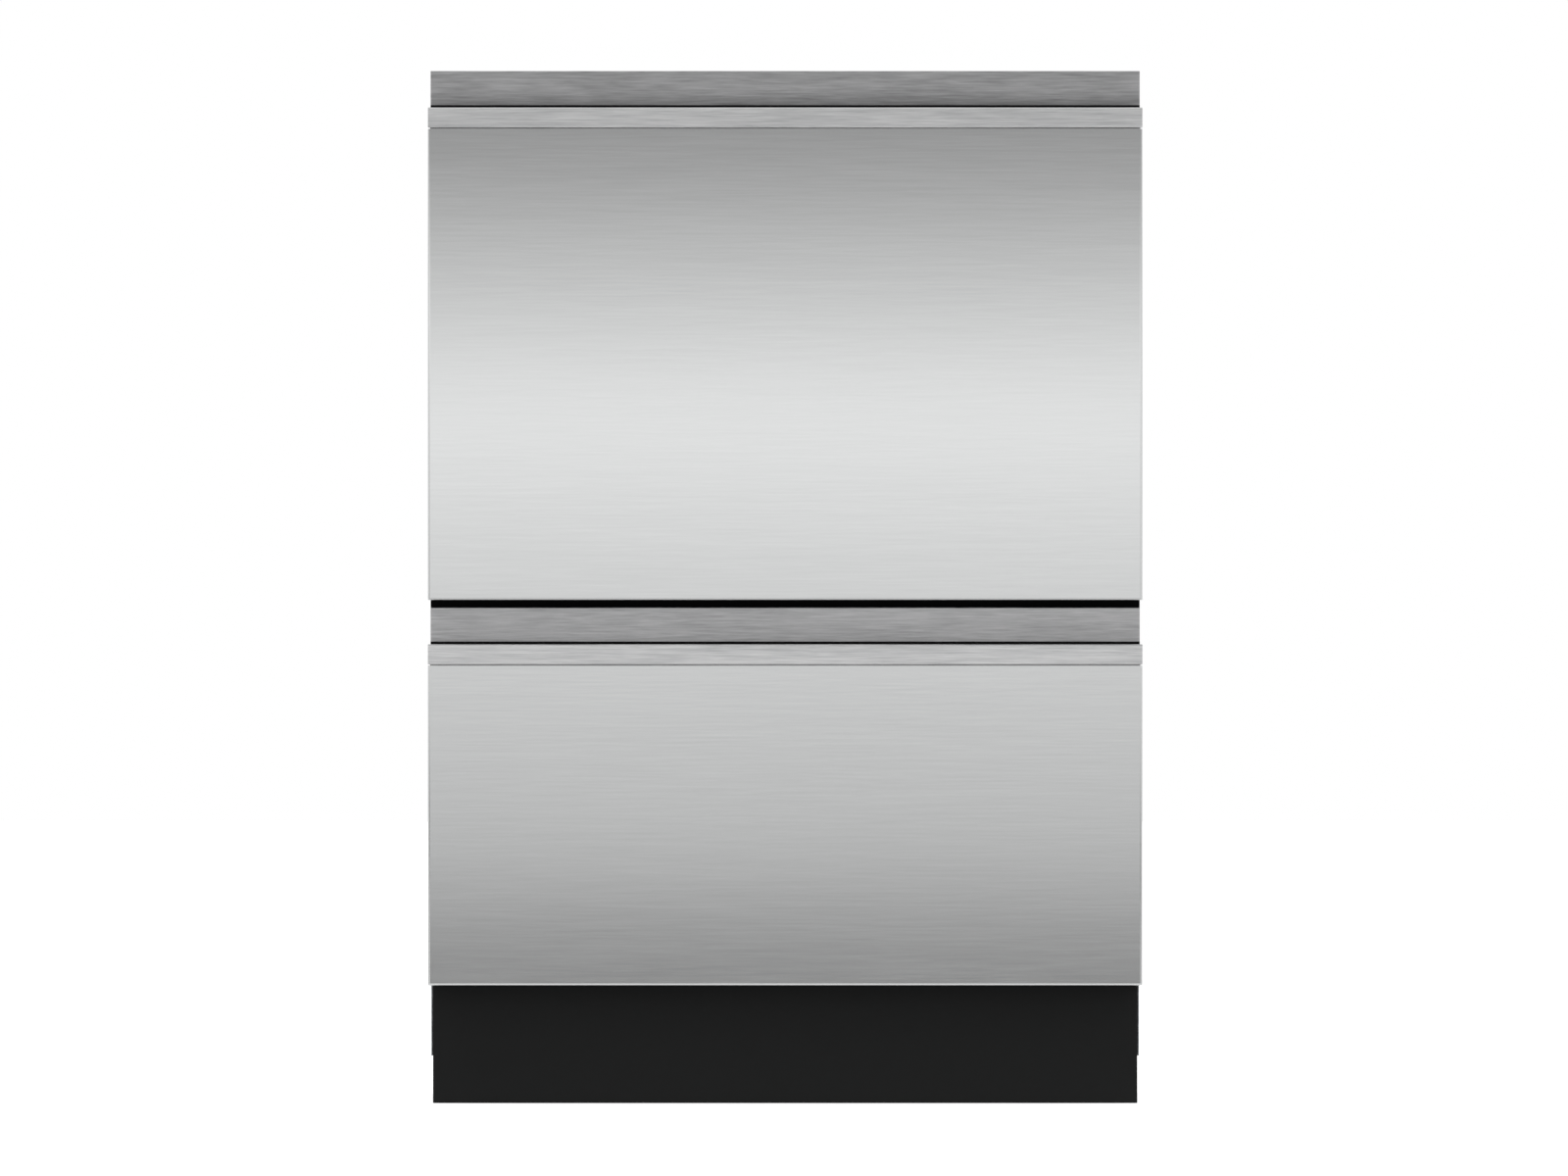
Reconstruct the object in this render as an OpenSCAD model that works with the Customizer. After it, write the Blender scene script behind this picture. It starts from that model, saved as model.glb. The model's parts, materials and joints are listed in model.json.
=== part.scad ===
// A built-in dishwasher with two pull-out washing drawers, a tall one over a low one.
// Millimetres. +Z is up, the drawer fronts face -Y, and the origin lies on the room's
// floor under the middle of the machine. Inside the modules a depth is counted from
// the face of the drawer fronts, and from_front() sets it in place.

/* [Fronts] */
// Width of the drawer fronts
front_w = 599; // [590:1:610]
// Height of the upper drawer's front
upper_front_h = 444; // [400:1:480]
// Height of the lower drawer's front
lower_front_h = 317; // [300:1:360]
// Gap between the two fronts
front_gap = 6; // [6:0.5:9]
// Thickness of a drawer front, from its face to the cabinet
front_t = 30; // [30:0.5:34]
// Thickness of the stainless skin
skin_t = 1.2; // [0.8:0.1:1.6]
// Depth of the skin's folded edges
skin_return = 18; // [10:1:22]
// Height of the handle, recess and lip together
handle_h = 48; // [44:1:54]
// Height of the lip that the fingers pull on
lip_h = 17; // [14:1:20]
// Thickness of the lip
lip_t = 4; // [3:0.5:6]
// Wall of the extruded handle
handle_wall = 2; // [1.5:0.1:2.5]
// Depth of the finger recess below the lip's top edge
recess_drop = 27; // [22:1:30]
// Seam between the lip and the skin under it
lip_seam = 0.9; // [0.4:0.1:1.4]
// Outer radius of the skin's bends
fold_r = 2; // [1.6:0.1:3]

/* [Cabinet] */
// How far the fronts overhang the cabinet on each side
front_overhang = 2; // [1:0.5:3]
// Depth of the cabinet from its front frame to its back
cabinet_d = 543; // [540:1:560]
// Steel sheet of the cabinet
sheet_t = 1.2; // [0.8:0.1:1.4]
// Height of the toe kick, which is also the lower front's bottom edge
kick_h = 100; // [98:1:120]
// How much narrower the toe kick is than the fronts, on each side
kick_inset = 3.7; // [2.5:0.1:6]
// How far the toe kick stands behind the fronts
kick_setback = 52; // [46:1:54]
// Gap under the toe kick
kick_floor_gap = 0.6; // [0.5:0.1:3]
// Width of the front frame's stiles
stile_w = 12; // [9:0.5:12]
// Thickness of the front frame
frame_t = 3; // [2:0.5:4]
// Height of the rail between the drawers
mid_rail_h = 8; // [7:0.5:9]
// Height of the base pan's underside above the floor
base_z = 40; // [36:1:42]

/* [Feet] */
// Radius of a foot's screw
foot_screw_r = 5; // [4:0.5:6]
// Radius of a foot's pad
foot_pad_r = 19; // [15:1:22]
// Height of a foot's pad
foot_pad_h = 14; // [10:1:16]
// Running clearance of the feet, pins and pivots
running_gap = 0.05; // [0.02:0.01:0.08]
// How far the feet stand in from the cabinet's sides
foot_inset = 47.5; // [42:0.5:60]

/* [Tub] */
// Wall of the moulded tub
tub_wall = 3; // [2.5:0.1:3.5]
// Drop of the tub's rim below the top of its front
rim_drop = 38; // [38:0.5:44]
// Height of the tub's inner floor above the bottom of its front
floor_rise = 61; // [58:1:66]
// Radius of the tub's inner corners
tub_corner_r = 30; // [24:1:32]
// How much narrower the tub is at its floor than at its rim, on each side
tub_draft = 8; // [4:0.5:10]
// Width of the rim's flange at the sides
rim_flange = 23; // [20:1:25]
// Radius of the sump recess in the tub's floor
sump_r = 98; // [90:1:104]
// Depth of the sump recess
sump_depth = 12; // [9:0.5:12]

/* [Runners] */
// Depth of a telescopic runner from the cabinet's wall
runner_w = 12.7; // [12.7:0.1:13.5]
// Height of a runner's cabinet member
runner_h = 46; // [42:1:50]
// Length of each runner member
runner_len = 500; // [480:1:510]
// Height of the runners' middle above the tub's inner floor
runner_rise = 40; // [34:1:50]

/* [Lid] */
// Thickness of the lid
lid_h = 18; // [14:1:18]
// How far the lid comes down to seal the tub
lid_travel = 12; // [8:0.5:12]
// Radius of the lid's lifting pins
lid_pin_r = 4; // [3:0.5:5]

/* [Baskets] */
// Radius of the baskets' frame wire
frame_wire_r = 2.5; // [2:0.1:3]
// Radius of the baskets' mesh wire
mesh_wire_r = 1.6; // [1.2:0.1:2]
// Gap between a basket and the tub's side wall at the rim
basket_side_gap = 22.6; // [20.6:0.2:32]
// Height of a basket's floor above the tub's floor
basket_rise = 34; // [33:1:38]
// Length of the plate tines in the upper drawer
upper_tine_h = 85; // [60:1:88]
// Length of the plate tines in the lower drawer
lower_tine_h = 70; // [50:1:76]
// Spacing of the plate tines
tine_pitch = 28; // [24:1:34]
// Width of the folding cup racks
cup_rack_w = 94; // [80:1:96]

/* [Spray arm] */
// Gap between the spray arm's tips and the tub's front and back walls
spray_gap = 16; // [15:0.5:40]
// Thickness of the spray arm's blade
spray_t = 11; // [9:0.5:12]

/* [Hidden] */
LOWER = 0;
UPPER = 1;
$fn = 48;

// Cabinet
cabinet_w = front_w - 2 * front_overhang;
total_d = front_t + cabinet_d;
total_h = kick_h + lower_front_h + front_gap + upper_front_h;
wall_x = cabinet_w / 2 - sheet_t;
kick_w = front_w - 2 * kick_inset;
kick_clip_x = cabinet_w / 2 - 137.5;
kick_clip_w = 30;
seat_gap = 0.3;
panel_f0 = front_t + frame_t;
back_f = total_d - sheet_t;
stile_x = cabinet_w / 2 - stile_w;
foot_f = [112, back_f - 50];
foot_x = cabinet_w / 2 - foot_inset;
foot_boss_drop = 18;
pan_wall = 2.5;

// Fronts, each a list of the lower drawer's value and the upper drawer's
front_z = [kick_h, kick_h + lower_front_h + front_gap];
front_h = [lower_front_h, upper_front_h];
function top_z(d) = front_z[d] + front_h[d];
function rim_z(d) = top_z(d) - rim_drop;
function floor_z(d) = front_z[d] + floor_rise;
function runner_z(d) = floor_z(d) + runner_rise;
function basket_z(d) = floor_z(d) + basket_rise;
function pump_z(d) = front_z[d] + 5;
front_back = front_t - 1.3;
strip_f = front_back - 4.7;
housing_x = stile_x - 5.5;

// Tub
fascia_back = 70;
fascia_drop = 13;
fascia_t = 2.5;
rim_f0 = fascia_back + 1;
tub_f0 = rim_f0 + 13;
tub_f1 = back_f - 51.8;
rim_f1 = tub_f1 + 20;
tub_mid_f = (tub_f0 + tub_f1) / 2;
rim_half_w = wall_x - runner_w - 2;
tub_half_w = rim_half_w - rim_flange;
tub_half_d = (tub_f1 - tub_f0) / 2;
sump_boss_r = sump_r + 12;
tub_rib_pitch = 80;
runner_hole_pitch = 150;
neck_r = 30;
neck_rise = 6.5;
spigot_r = 14;
spray_r = tub_half_d - tub_draft - spray_gap;
pump_cover_r = sump_r + 11;

// Runners
runner_f0 = front_t + 8;
runner_t = 1.2;
inner_runner_h = runner_h - 17;
bracket_x = wall_x - runner_w;

// Lid
seal_gap = 0.3;
seal_drop = 4;
lid_half_w = rim_half_w - 5.6;
lid_f0 = rim_f0 + 2;
lid_f1 = rim_f1 - 4;
seal_half_w = (tub_half_w + rim_half_w) / 2 - 2;
seal_f0 = (rim_f0 + tub_f0) / 2;
seal_f1 = (rim_f1 + tub_f1) / 2;
lid_pin_f = [150, 450];
function lid_z(d) = rim_z(d) + seal_gap + lid_travel + seal_drop;
actuator_x = rim_half_w + 3;

// Baskets
basket_half_w = tub_half_w - basket_side_gap;
basket_f0 = tub_f0 + 16;
basket_f1 = tub_f1 - 20;
basket_mid_f = (basket_f0 + basket_f1) / 2;
basket_half_d = (basket_f1 - basket_f0) / 2;
basket_corner_r = 24;
straight_w = basket_half_w - basket_corner_r;
straight_d = basket_half_d - basket_corner_r;
basket_wall_h = [80, 110];
tine_h = [lower_tine_h, upper_tine_h];
tine_r = 2;
tine_count = 13;
mesh_rows = 9;
mesh_columns = 11;
row_pitch = 2 * basket_half_d / (mesh_rows + 1);
column_pitch = 2 * basket_half_w / (mesh_columns + 1);
folding_row_f = basket_mid_f;
fixed_rows_f = about(basket_mid_f, 3 * row_pitch);
cup_f = [basket_mid_f - 150, basket_mid_f + 150];

// Detergent dispenser, on the tub's front wall
dispenser_w = 170;
dispenser_h = 76;
dispenser_drop = 55;
function dispenser_z(d) = rim_z(d) - dispenser_drop;
dispenser_f = tub_f0 + 3.5;
cup_x = -36;
cup_w = 80;
cup_h = 50;
rinse_x = 52;
door_t = 3;
door_pin_r = 1.5;
door_barrel_r = 2.3;
door_f0 = dispenser_f + seat_gap;
door_axis_f = dispenser_f + door_barrel_r + seat_gap;
function door_axis_z(d) = dispenser_z(d) - cup_h / 2 - 4;

// Hose link: two arms that fold flat behind the tub and stretch out with the drawer
link_len = 290;
link_w = 24;
link_t = 11;
link_pin_r = 5;
link_x = cabinet_w / 2 - 97.5;
link_f = back_f - 26.8;
link_rise = 8;
link_gap = 0.3;
function link_z(d) = front_z[d] + link_rise;

// Water and mains connections
inlet_x = 97.5 - cabinet_w / 2;
inlet_r = 13.2;
valve_f = back_f - 30;
valve_w = 32;
valve_d = 36;
drain_x = inlet_x + 60;
drain_r = 9.5;
elbow_f = back_f - 38;
elbow_w = 26;
elbow_d = 28;
service_z = 84;
gland_x = cabinet_w / 2 - 67.5;
gland_z = 78;
gland_r = 9;
gland_bore_r = 4.2;

// Fixing holes
fixing_r = 2.5;
fixing_f = front_t + 15;
side_fixing_z = [160, 760];
top_fixing_x = cabinet_w / 2 - 97.5;

// ---- Shared shapes ----

// Moves what is drawn with depths from the fronts' face into the machine's own frame.
module from_front() translate([0, -total_d / 2, 0]) children();

// A box between two corners: across, back from the fronts, and up.
module block(x, f, z) translate([x[0], f[0], z[0]]) cube([x[1] - x[0], f[1] - f[0], z[1] - z[0]]);

// The same shape on the left and on the right.
module both_sides() {
    children();
    mirror([1, 0, 0]) children();
}

// A flat rounded rectangle about its middle.
module rounded(w, h, r) {
    square([w - 2 * r, h], center = true);
    square([w, h - 2 * r], center = true);
    for (x = [-1, 1], y = [-1, 1]) translate([x * (w / 2 - r), y * (h / 2 - r)]) circle(r = r);
}

// A slot with round ends, its length along X.
module slot_shape(length, w) {
    square([length - w, w], center = true);
    for (x = [-1, 1]) translate([x * (length - w) / 2, 0]) circle(d = w);
}

// A section drawn as depth and height, carried across the machine.
module across(w) rotate([90, 0, 90]) linear_extrude(w, center = true) children();

// Straight wires about their middles, along X and along Y.
module wire_x(length, r) rotate([0, 90, 0]) cylinder(h = length, r = r, center = true, $fn = 32);
module wire_y(length, r) rotate([90, 0, 0]) cylinder(h = length, r = r, center = true, $fn = 32);

// A pair of limits about a middle, and a pair of limits moved along.
function about(middle, half) = [middle - half, middle + half];
function moved(by, limits) = [by + limits[0], by + limits[1]];

// Points of an arc, for rounded corners of a section.
function arc(c, r, a0, a1, n = 6) = [
    for (i = [0:n]) let (a = a0 + (a1 - a0) * i / n) c + r * [cos(a), sin(a)]];

// ---- Cabinet ----

module side_panel() {
    bead_w = 26;
    bead_t = 1.2;
    color("gainsboro") from_front() difference() {
        union() {
            block([wall_x, cabinet_w / 2], [panel_f0, back_f], [base_z, total_h - sheet_t]);
            // rear fold that the back panel is riveted to
            block([wall_x - 14, wall_x], [back_f - sheet_t, back_f], [base_z + 60, total_h - sheet_t]);
            side_beads() translate([0, 0, wall_x - bead_t]) linear_extrude(bead_t)
                slot_shape(cabinet_d - 160, bead_w);
        }
        side_beads() translate([0, 0, cabinet_w / 2 - bead_t / 2]) linear_extrude(bead_t)
            slot_shape(cabinet_d - 160 - 6, bead_w - 6);
        // toe space in front of the kick strip
        block([wall_x - 1, cabinet_w / 2 + 1], [0, kick_setback + 18], [0, kick_h]);
        for (z = side_fixing_z)
            translate([wall_x, fixing_f, z]) rotate([0, 90, 0])
                cylinder(h = 3 * sheet_t, r = fixing_r, center = true);
    }
    // Places a bead's shape flat in the side wall, at the height of each pressed stiffening bead.
    module side_beads() for (z = [runner_z(LOWER) + 80, runner_z(UPPER) + 90, runner_z(UPPER) + 170])
        translate([0, total_d / 2 + 20, z]) rotate([0, 90, 0]) rotate([0, 0, 90]) children();
}

module top_panel() {
    color("gainsboro") from_front() difference() {
        block([-cabinet_w / 2, cabinet_w / 2], [panel_f0, total_d], [total_h - sheet_t, total_h]);
        for (x = [-top_fixing_x, top_fixing_x])
            translate([x, fixing_f, total_h - sheet_t / 2])
                cylinder(h = 3 * sheet_t, r = fixing_r, center = true);
    }
}

module back_panel() {
    bead_t = 1.2;
    color("silver") from_front() difference() {
        union() {
            block([-cabinet_w / 2, cabinet_w / 2], [back_f, total_d], [base_z, total_h - sheet_t]);
            back_beads() translate([0, 0, -back_f]) linear_extrude(bead_t + 0.4)
                slot_shape(cabinet_w - 120, 22);
        }
        back_beads() translate([0, 0, -total_d - 1]) linear_extrude(1 + bead_t / 2)
            slot_shape(cabinet_w - 126, 16);
        // cut-outs for the water and mains connections
        translate([(inlet_x + drain_x) / 2, total_d, service_z]) rotate([90, 0, 0])
            linear_extrude(10, center = true) rounded(130, 48, 8);
        translate([gland_x, total_d, gland_z]) rotate([90, 0, 0])
            linear_extrude(10, center = true) rounded(30, 30, 6);
    }
    bead_z = [total_h - 120, total_h - 240, floor_z(UPPER) + 30, rim_z(LOWER) - 60, floor_z(LOWER) + 40];
    module back_beads() for (z = bead_z) translate([0, 0, z]) rotate([90, 0, 0]) children();
}

module base_pan() {
    wall = pan_wall;
    half_w = wall_x - seat_gap;
    f = [kick_setback + 20, back_f - 4];
    boss_r = foot_screw_r + 6;
    color([0.12, 0.12, 0.13]) from_front() difference() {
        union() {
            block([-half_w, half_w], f, [base_z, base_z + wall]);
            both_sides() block([half_w - wall, half_w], f, [base_z, base_z + 24]);
            block([-half_w, half_w], [f[1] - wall, f[1]], [base_z, base_z + 24]);
            // the front wall carries the sill of the front frame
            block([-stile_x, stile_x], [f[0], f[0] + wall], [base_z, kick_h + 0.4]);
            // ribs across the tray
            for (y = [180, 260, 340, 420]) block([-half_w, half_w], [y, y + 2], [base_z, base_z + 9]);
            for_feet() cylinder(h = foot_boss_drop + wall, r = boss_r);
        }
        for_feet() translate([0, 0, -20]) cylinder(h = 90, r = foot_screw_r + running_gap);
    }
    // Places a foot boss's shape, from the boss's lower end up.
    module for_feet() for (x = [-1, 1], y = foot_f)
        translate([x * foot_x, y, base_z - foot_boss_drop]) children();
}

module foot(x, f) {
    color([0.15, 0.15, 0.16]) from_front() translate([x * foot_x, f, 0]) {
        cylinder(h = foot_pad_h - 4, r = foot_pad_r);
        translate([0, 0, foot_pad_h - 4]) cylinder(h = 4, r1 = foot_pad_r, r2 = foot_pad_r - 5);
        // six flats for a spanner, up to the pan's boss
        cylinder(h = base_z - foot_boss_drop - running_gap, r = foot_screw_r + 4, $fn = 6);
        cylinder(h = kick_h - 1, r = foot_screw_r);
    }
}

module front_frame() {
    color([0.05, 0.05, 0.06]) from_front() {
        both_sides() difference() {
            union() {
                block([stile_x, cabinet_w / 2], [front_t, panel_f0], [kick_h + 1, total_h - sheet_t]);
                block([stile_x, stile_x + 1.5], [panel_f0, panel_f0 + 12],
                    [kick_h + 2.5, total_h - sheet_t - 1]);
            }
            // the runners come out through these notches
            for (d = [LOWER, UPPER])
                block([stile_x - 1, wall_x - 0.2], [0, 60], about(runner_z(d), runner_h / 2 + 3));
        }
        // top rail, middle rail and sill
        folded_rail([total_h - sheet_t - 9, total_h - sheet_t], [0]);
        folded_rail([front_z[UPPER] + 2 - mid_rail_h, front_z[UPPER] + 2], [0, 1]);
        block([-stile_x, stile_x], [front_t, kick_setback + 22.5], [kick_h + 0.6, kick_h + 2.2]);
    }
    // A rail between the stiles, with a leg back from its lower edge (0) or its upper edge (1).
    module folded_rail(z, legs) {
        leg_t = 1.5;
        block([-stile_x, stile_x], [front_t, panel_f0], z);
        for (leg = legs) {
            z0 = leg == 0 ? z[0] : z[1] - leg_t;
            block([-stile_x, stile_x], [panel_f0, panel_f0 + 29], [z0, z0 + leg_t]);
        }
    }
}

module kick_strip() {
    return_d = 18;
    clip_x = [kick_clip_x, kick_clip_x + kick_clip_w];
    f = [kick_setback, kick_setback + sheet_t];
    z = [kick_floor_gap, kick_h];
    color([0.09, 0.09, 0.09]) from_front() {
        block([-kick_w / 2, kick_w / 2], f, z);
        block([-kick_w / 2, kick_w / 2], [f[0], f[0] + return_d], [z[1] - sheet_t, z[1]]);
        block([-kick_w / 2, kick_w / 2], [f[0], f[0] + 10], [z[0], z[0] + sheet_t]);
        both_sides() {
            block([kick_w / 2 - sheet_t, kick_w / 2], [f[0], f[0] + return_d], z);
            // clip that holds the strip to the base pan
            block(clip_x, [f[0], kick_setback + 20 - seat_gap], [base_z + 8, base_z + 10]);
            block(clip_x, [f[0] + return_d, f[0] + return_d + 1.7], [base_z + 2, base_z + 26]);
        }
    }
}

// ---- Telescopic runners ----

// Section of a runner member on the right-hand side, as X and Z: a web with two flanges.
module channel(x_web, h, flange, curl = 0) {
    reach = flange < 0 ? [x_web + flange, x_web] : [x_web, x_web + flange];
    translate([x_web - (flange < 0 ? runner_t : 0), -h / 2]) square([runner_t, h]);
    for (s = [-1, 1]) {
        translate([reach[0], s < 0 ? -h / 2 : h / 2 - runner_t]) square([reach[1] - reach[0], runner_t]);
        if (curl > 0)
            translate([flange < 0 ? reach[0] : reach[1] - runner_t, s < 0 ? -h / 2 : h / 2 - curl])
                square([runner_t, curl]);
    }
}

// A runner member: its section carried along the runner's length, on both sides.
module runner_member(d, f0, length) from_front() both_sides()
    translate([0, f0 + length, runner_z(d)]) rotate([90, 0, 0]) linear_extrude(length) children();

module cabinet_runners() {
    color("lightsteelblue") {
        for (d = [LOWER, UPPER]) {
            runner_member(d, runner_f0, runner_len) channel(wall_x, runner_h, -runner_w + 2.4, 2.4);
            // rear stop
            from_front() both_sides() block([wall_x - 3, wall_x - runner_t],
                [runner_f0 + runner_len - 3, runner_f0 + runner_len], about(runner_z(d), 12));
        }
    }
}

module middle_runners(d) {
    h = runner_h - 8;
    f0 = runner_f0 + 4;
    length = runner_len - 8;
    race = 0.15;
    outer_t = runner_h / 2 - runner_t - h / 2 - race;
    inner_t = h / 2 - runner_t - inner_runner_h / 2 - race;
    color("lightsteelblue") {
        runner_member(d, f0, length) channel(wall_x - 3.4, h, -7.4);
        // bearing cages: the rear ones ride in the cabinet's member, the front ones carry the drawer's
        for (s = [-1, 1], i = [0, 1]) {
            runner_member(d, f0 + length - 60 - i * 150, 56)
                translate([wall_x - 6.8, s * (h / 2 + outer_t / 2)]) square([3.6, outer_t], center = true);
            runner_member(d, f0 + 6 + i * 150, 56)
                translate([wall_x - 8.3, s * (inner_runner_h / 2 + race + inner_t / 2)])
                    square([3.6, inner_t], center = true);
        }
    }
}

module drawer_runners(d) {
    color("lightsteelblue") {
        runner_member(d, runner_f0 + 2, runner_len - 4) channel(bracket_x, inner_runner_h, 6.4);
        // angle that carries the tub by its floor
        shelf_z = floor_z(d) - tub_wall;
        from_front() both_sides() difference() {
            union() {
                block([bracket_x - 1.5, bracket_x], [runner_f0 + 6, rim_f1 - 8],
                    [shelf_z - 1.5, runner_z(d) + 14]);
                block([200, bracket_x], [tub_f0 + 20, tub_f1 - 20], [shelf_z - 1.5, shelf_z]);
                // plate that the drawer front is screwed to
                block([housing_x + seat_gap / 2, bracket_x], [runner_f0 + 6, tub_f0 - 10],
                    [shelf_z - 1.5, runner_z(d) + 14]);
            }
            for (i = [-1, 0, 1]) translate([bracket_x, tub_mid_f + i * runner_hole_pitch, shelf_z]) {
                translate([-18, -2, -4]) cylinder(h = 8, r = 8);
                translate([0, 28, 14]) rotate([0, 90, 0]) cylinder(h = 8, r = 9, center = true);
            }
        }
    }
}

// ---- Drawer front ----

module front_panel(d) {
    r = fold_r;
    z = [front_z[d], top_z(d) - handle_h - lip_seam];
    w = front_w / 2;
    // half of the folded sheet seen from above, with rounded outer bends
    outer = concat([[0, 0]], arc([w - r, r], r, -90, 0), [[w, skin_return]]);
    inner = concat([[w - skin_t, skin_return]], arc([w - r, r], r - skin_t, 0, -90), [[0, skin_t]]);
    // what the rounded bend along the bottom leaves out, as depth and height
    bend = concat([[-1, z[0] + r], [-1, z[0] - 1], [r, z[0] - 1]], arc([r, z[0] + r], r, 270, 180));
    color("silver") from_front() difference() {
        union() {
            translate([0, 0, z[0]]) linear_extrude(z[1] - z[0]) {
                polygon(concat(outer, inner));
                mirror([1, 0]) polygon(concat(outer, inner));
            }
            block([-w + skin_t / 2, w - skin_t / 2], [skin_t / 2, skin_return], [z[0], z[0] + skin_t]);
        }
        across(front_w + 2) polygon(bend);
    }
}

module handle(d) {
    top = top_z(d);
    lip_z = [top - handle_h, top - handle_h + lip_h];
    floor = lip_z[1] - recess_drop;
    w = handle_wall;
    // the lip's top edge is a full round and its lower front edge is broken
    nose_r = lip_t / 2;
    lip = concat(
        arc([1.2, lip_z[0] + 1.2], 1.2, 270, 180, 4),
        arc([nose_r, lip_z[1] - nose_r], nose_r, 180, 0, 12),
        [[lip_t, lip_z[0]]]);
    // wall behind the lip, recess floor, then the strip with its folded top
    trough = concat(
        [[lip_t - w, lip_z[0] + 2], [lip_t, lip_z[0] + 2]],
        arc([lip_t + 5, floor + 5], 5, 180, 270),
        arc([strip_f - 5, floor + 5], 5, 270, 360),
        [[strip_f, top - 1]],
        arc([strip_f + 1, top - 1], 1, 180, 90),
        [[front_back - seat_gap, top], [front_back - seat_gap, top - 1.5], [strip_f + w, top - 1.5]],
        arc([strip_f - 5, floor + 5], 5 + w, 360, 270),
        arc([lip_t + 5, floor + 5], 5 + w, 270, 180));
    color("silver") from_front() {
        across(front_w) polygon(lip);
        across(cabinet_w) polygon(trough);
    }
}

// The moulded box that carries the skin and handle and closes the front of the tub.
module front_housing(d) {
    wall = 2.5;
    tray_x = front_w / 2 - skin_t - 0.5;
    tray_z = [front_z[d] + skin_t + 0.5, top_z(d) - handle_h + lip_h - recess_drop - handle_wall - 0.2];
    box_z = [front_z[d] + 4, rim_z(d) - 16];
    tub_face = tub_f0 - tub_wall - seat_gap;
    color([0.16, 0.16, 0.17]) from_front() {
        difference() {
            union() {
                block([-tray_x, tray_x], [skin_t + seat_gap, front_back], tray_z);
                // plate behind the strip of the handle
                block([-housing_x, housing_x], [strip_f + handle_wall + seat_gap, front_back],
                    [tray_z[0], top_z(d) - 2]);
            }
            block([-tray_x + wall, tray_x - wall], [0, front_back - wall], tray_z + [wall, -wall]);
            // the box behind is open to the tray
            block([-housing_x + 20, housing_x - 20], [0, front_back + 1], [box_z[0] + 20, tray_z[1] - 20]);
        }
        difference() {
            block([-housing_x, housing_x], [front_back, tub_face], box_z);
            block([-housing_x + wall, housing_x - wall], [front_back - 1, tub_face + 1],
                box_z + [wall, wall]);
        }
        // controller box, beside the dispenser
        block([-housing_x + wall + seat_gap, -120], [front_back + 5, tub_face - 12],
            moved(floor_z(d), [10, 110]));
        block([-housing_x + wall, -130], [front_back + 5, tub_face - 12],
            [box_z[0] + wall, floor_z(d) + 10 - seat_gap]);
    }
}

button_x = [80 - housing_x, -60, housing_x - 80];
button_w = 26;
button_d = 12;
button_f = 50;
button_travel = 1.2;

// The glossy cap over the front of the drawer, with the push buttons and the display window.
module control_fascia(d) {
    wall = 2.5;
    z = [rim_z(d) - 16 + seat_gap, top_z(d) - fascia_drop];
    f = [front_back + seat_gap, fascia_back];
    color([0.04, 0.04, 0.05]) from_front() {
        difference() {
            block([-housing_x, housing_x], f, z);
            block([-housing_x + wall, housing_x - wall], f + [wall, -wall], z - [1, fascia_t]);
            for (x = button_x) translate([x, button_f, z[1] - 6]) linear_extrude(12)
                rounded(button_w + 2 * seat_gap, button_d + 2 * seat_gap, 3 + seat_gap);
            // shallow window for the cycle display
            translate([60, button_f, z[1] - 0.6]) linear_extrude(2) rounded(70, 14, 3);
        }
        // strip of circuit board with the switches, on two posts
        block([-230, 230], [button_f - 12, button_f + 12], moved(z[1], [-12.6, -11]));
        for (x = [-225, 120])
            block([x, x + 6], [button_f - 3, button_f + 3], moved(z[1], [-11, -fascia_t]));
    }
}

module button(d, index) {
    z = top_z(d) - fascia_drop;
    color([0.75, 0.76, 0.78]) from_front() translate([button_x[index], button_f, 0]) {
        translate([0, 0, z - fascia_t - 2]) linear_extrude(fascia_t + 2 + 1.4)
            rounded(button_w, button_d, 3);
        translate([0, 0, z - fascia_t - seat_gap - 2]) linear_extrude(2)
            rounded(button_w + 5, button_d + 5, 4);
        // plunger that reaches the switch
        translate([0, 0, z - 11 + button_travel + seat_gap]) cylinder(h = 11 - fascia_t - 3, r = 2);
    }
}

// ---- Tub and wash parts ----

// The smooth tapering volume of the tub, grown by a wall. z1 is its top.
module tub_volume(d, grow, z1) {
    r = tub_corner_r;
    hull() for (x = [-1, 1], y = [-1, 1]) {
        translate([x * (tub_half_w - tub_draft - r), tub_mid_f + y * (tub_half_d - tub_draft - r), 0])
            translate([0, 0, floor_z(d) + r]) sphere(r = r + grow, $fn = 36);
        translate([x * (tub_half_w - r), tub_mid_f + y * (tub_half_d - r), z1 - 1])
            cylinder(h = 1, r = r + grow, $fn = 36);
    }
}

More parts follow.
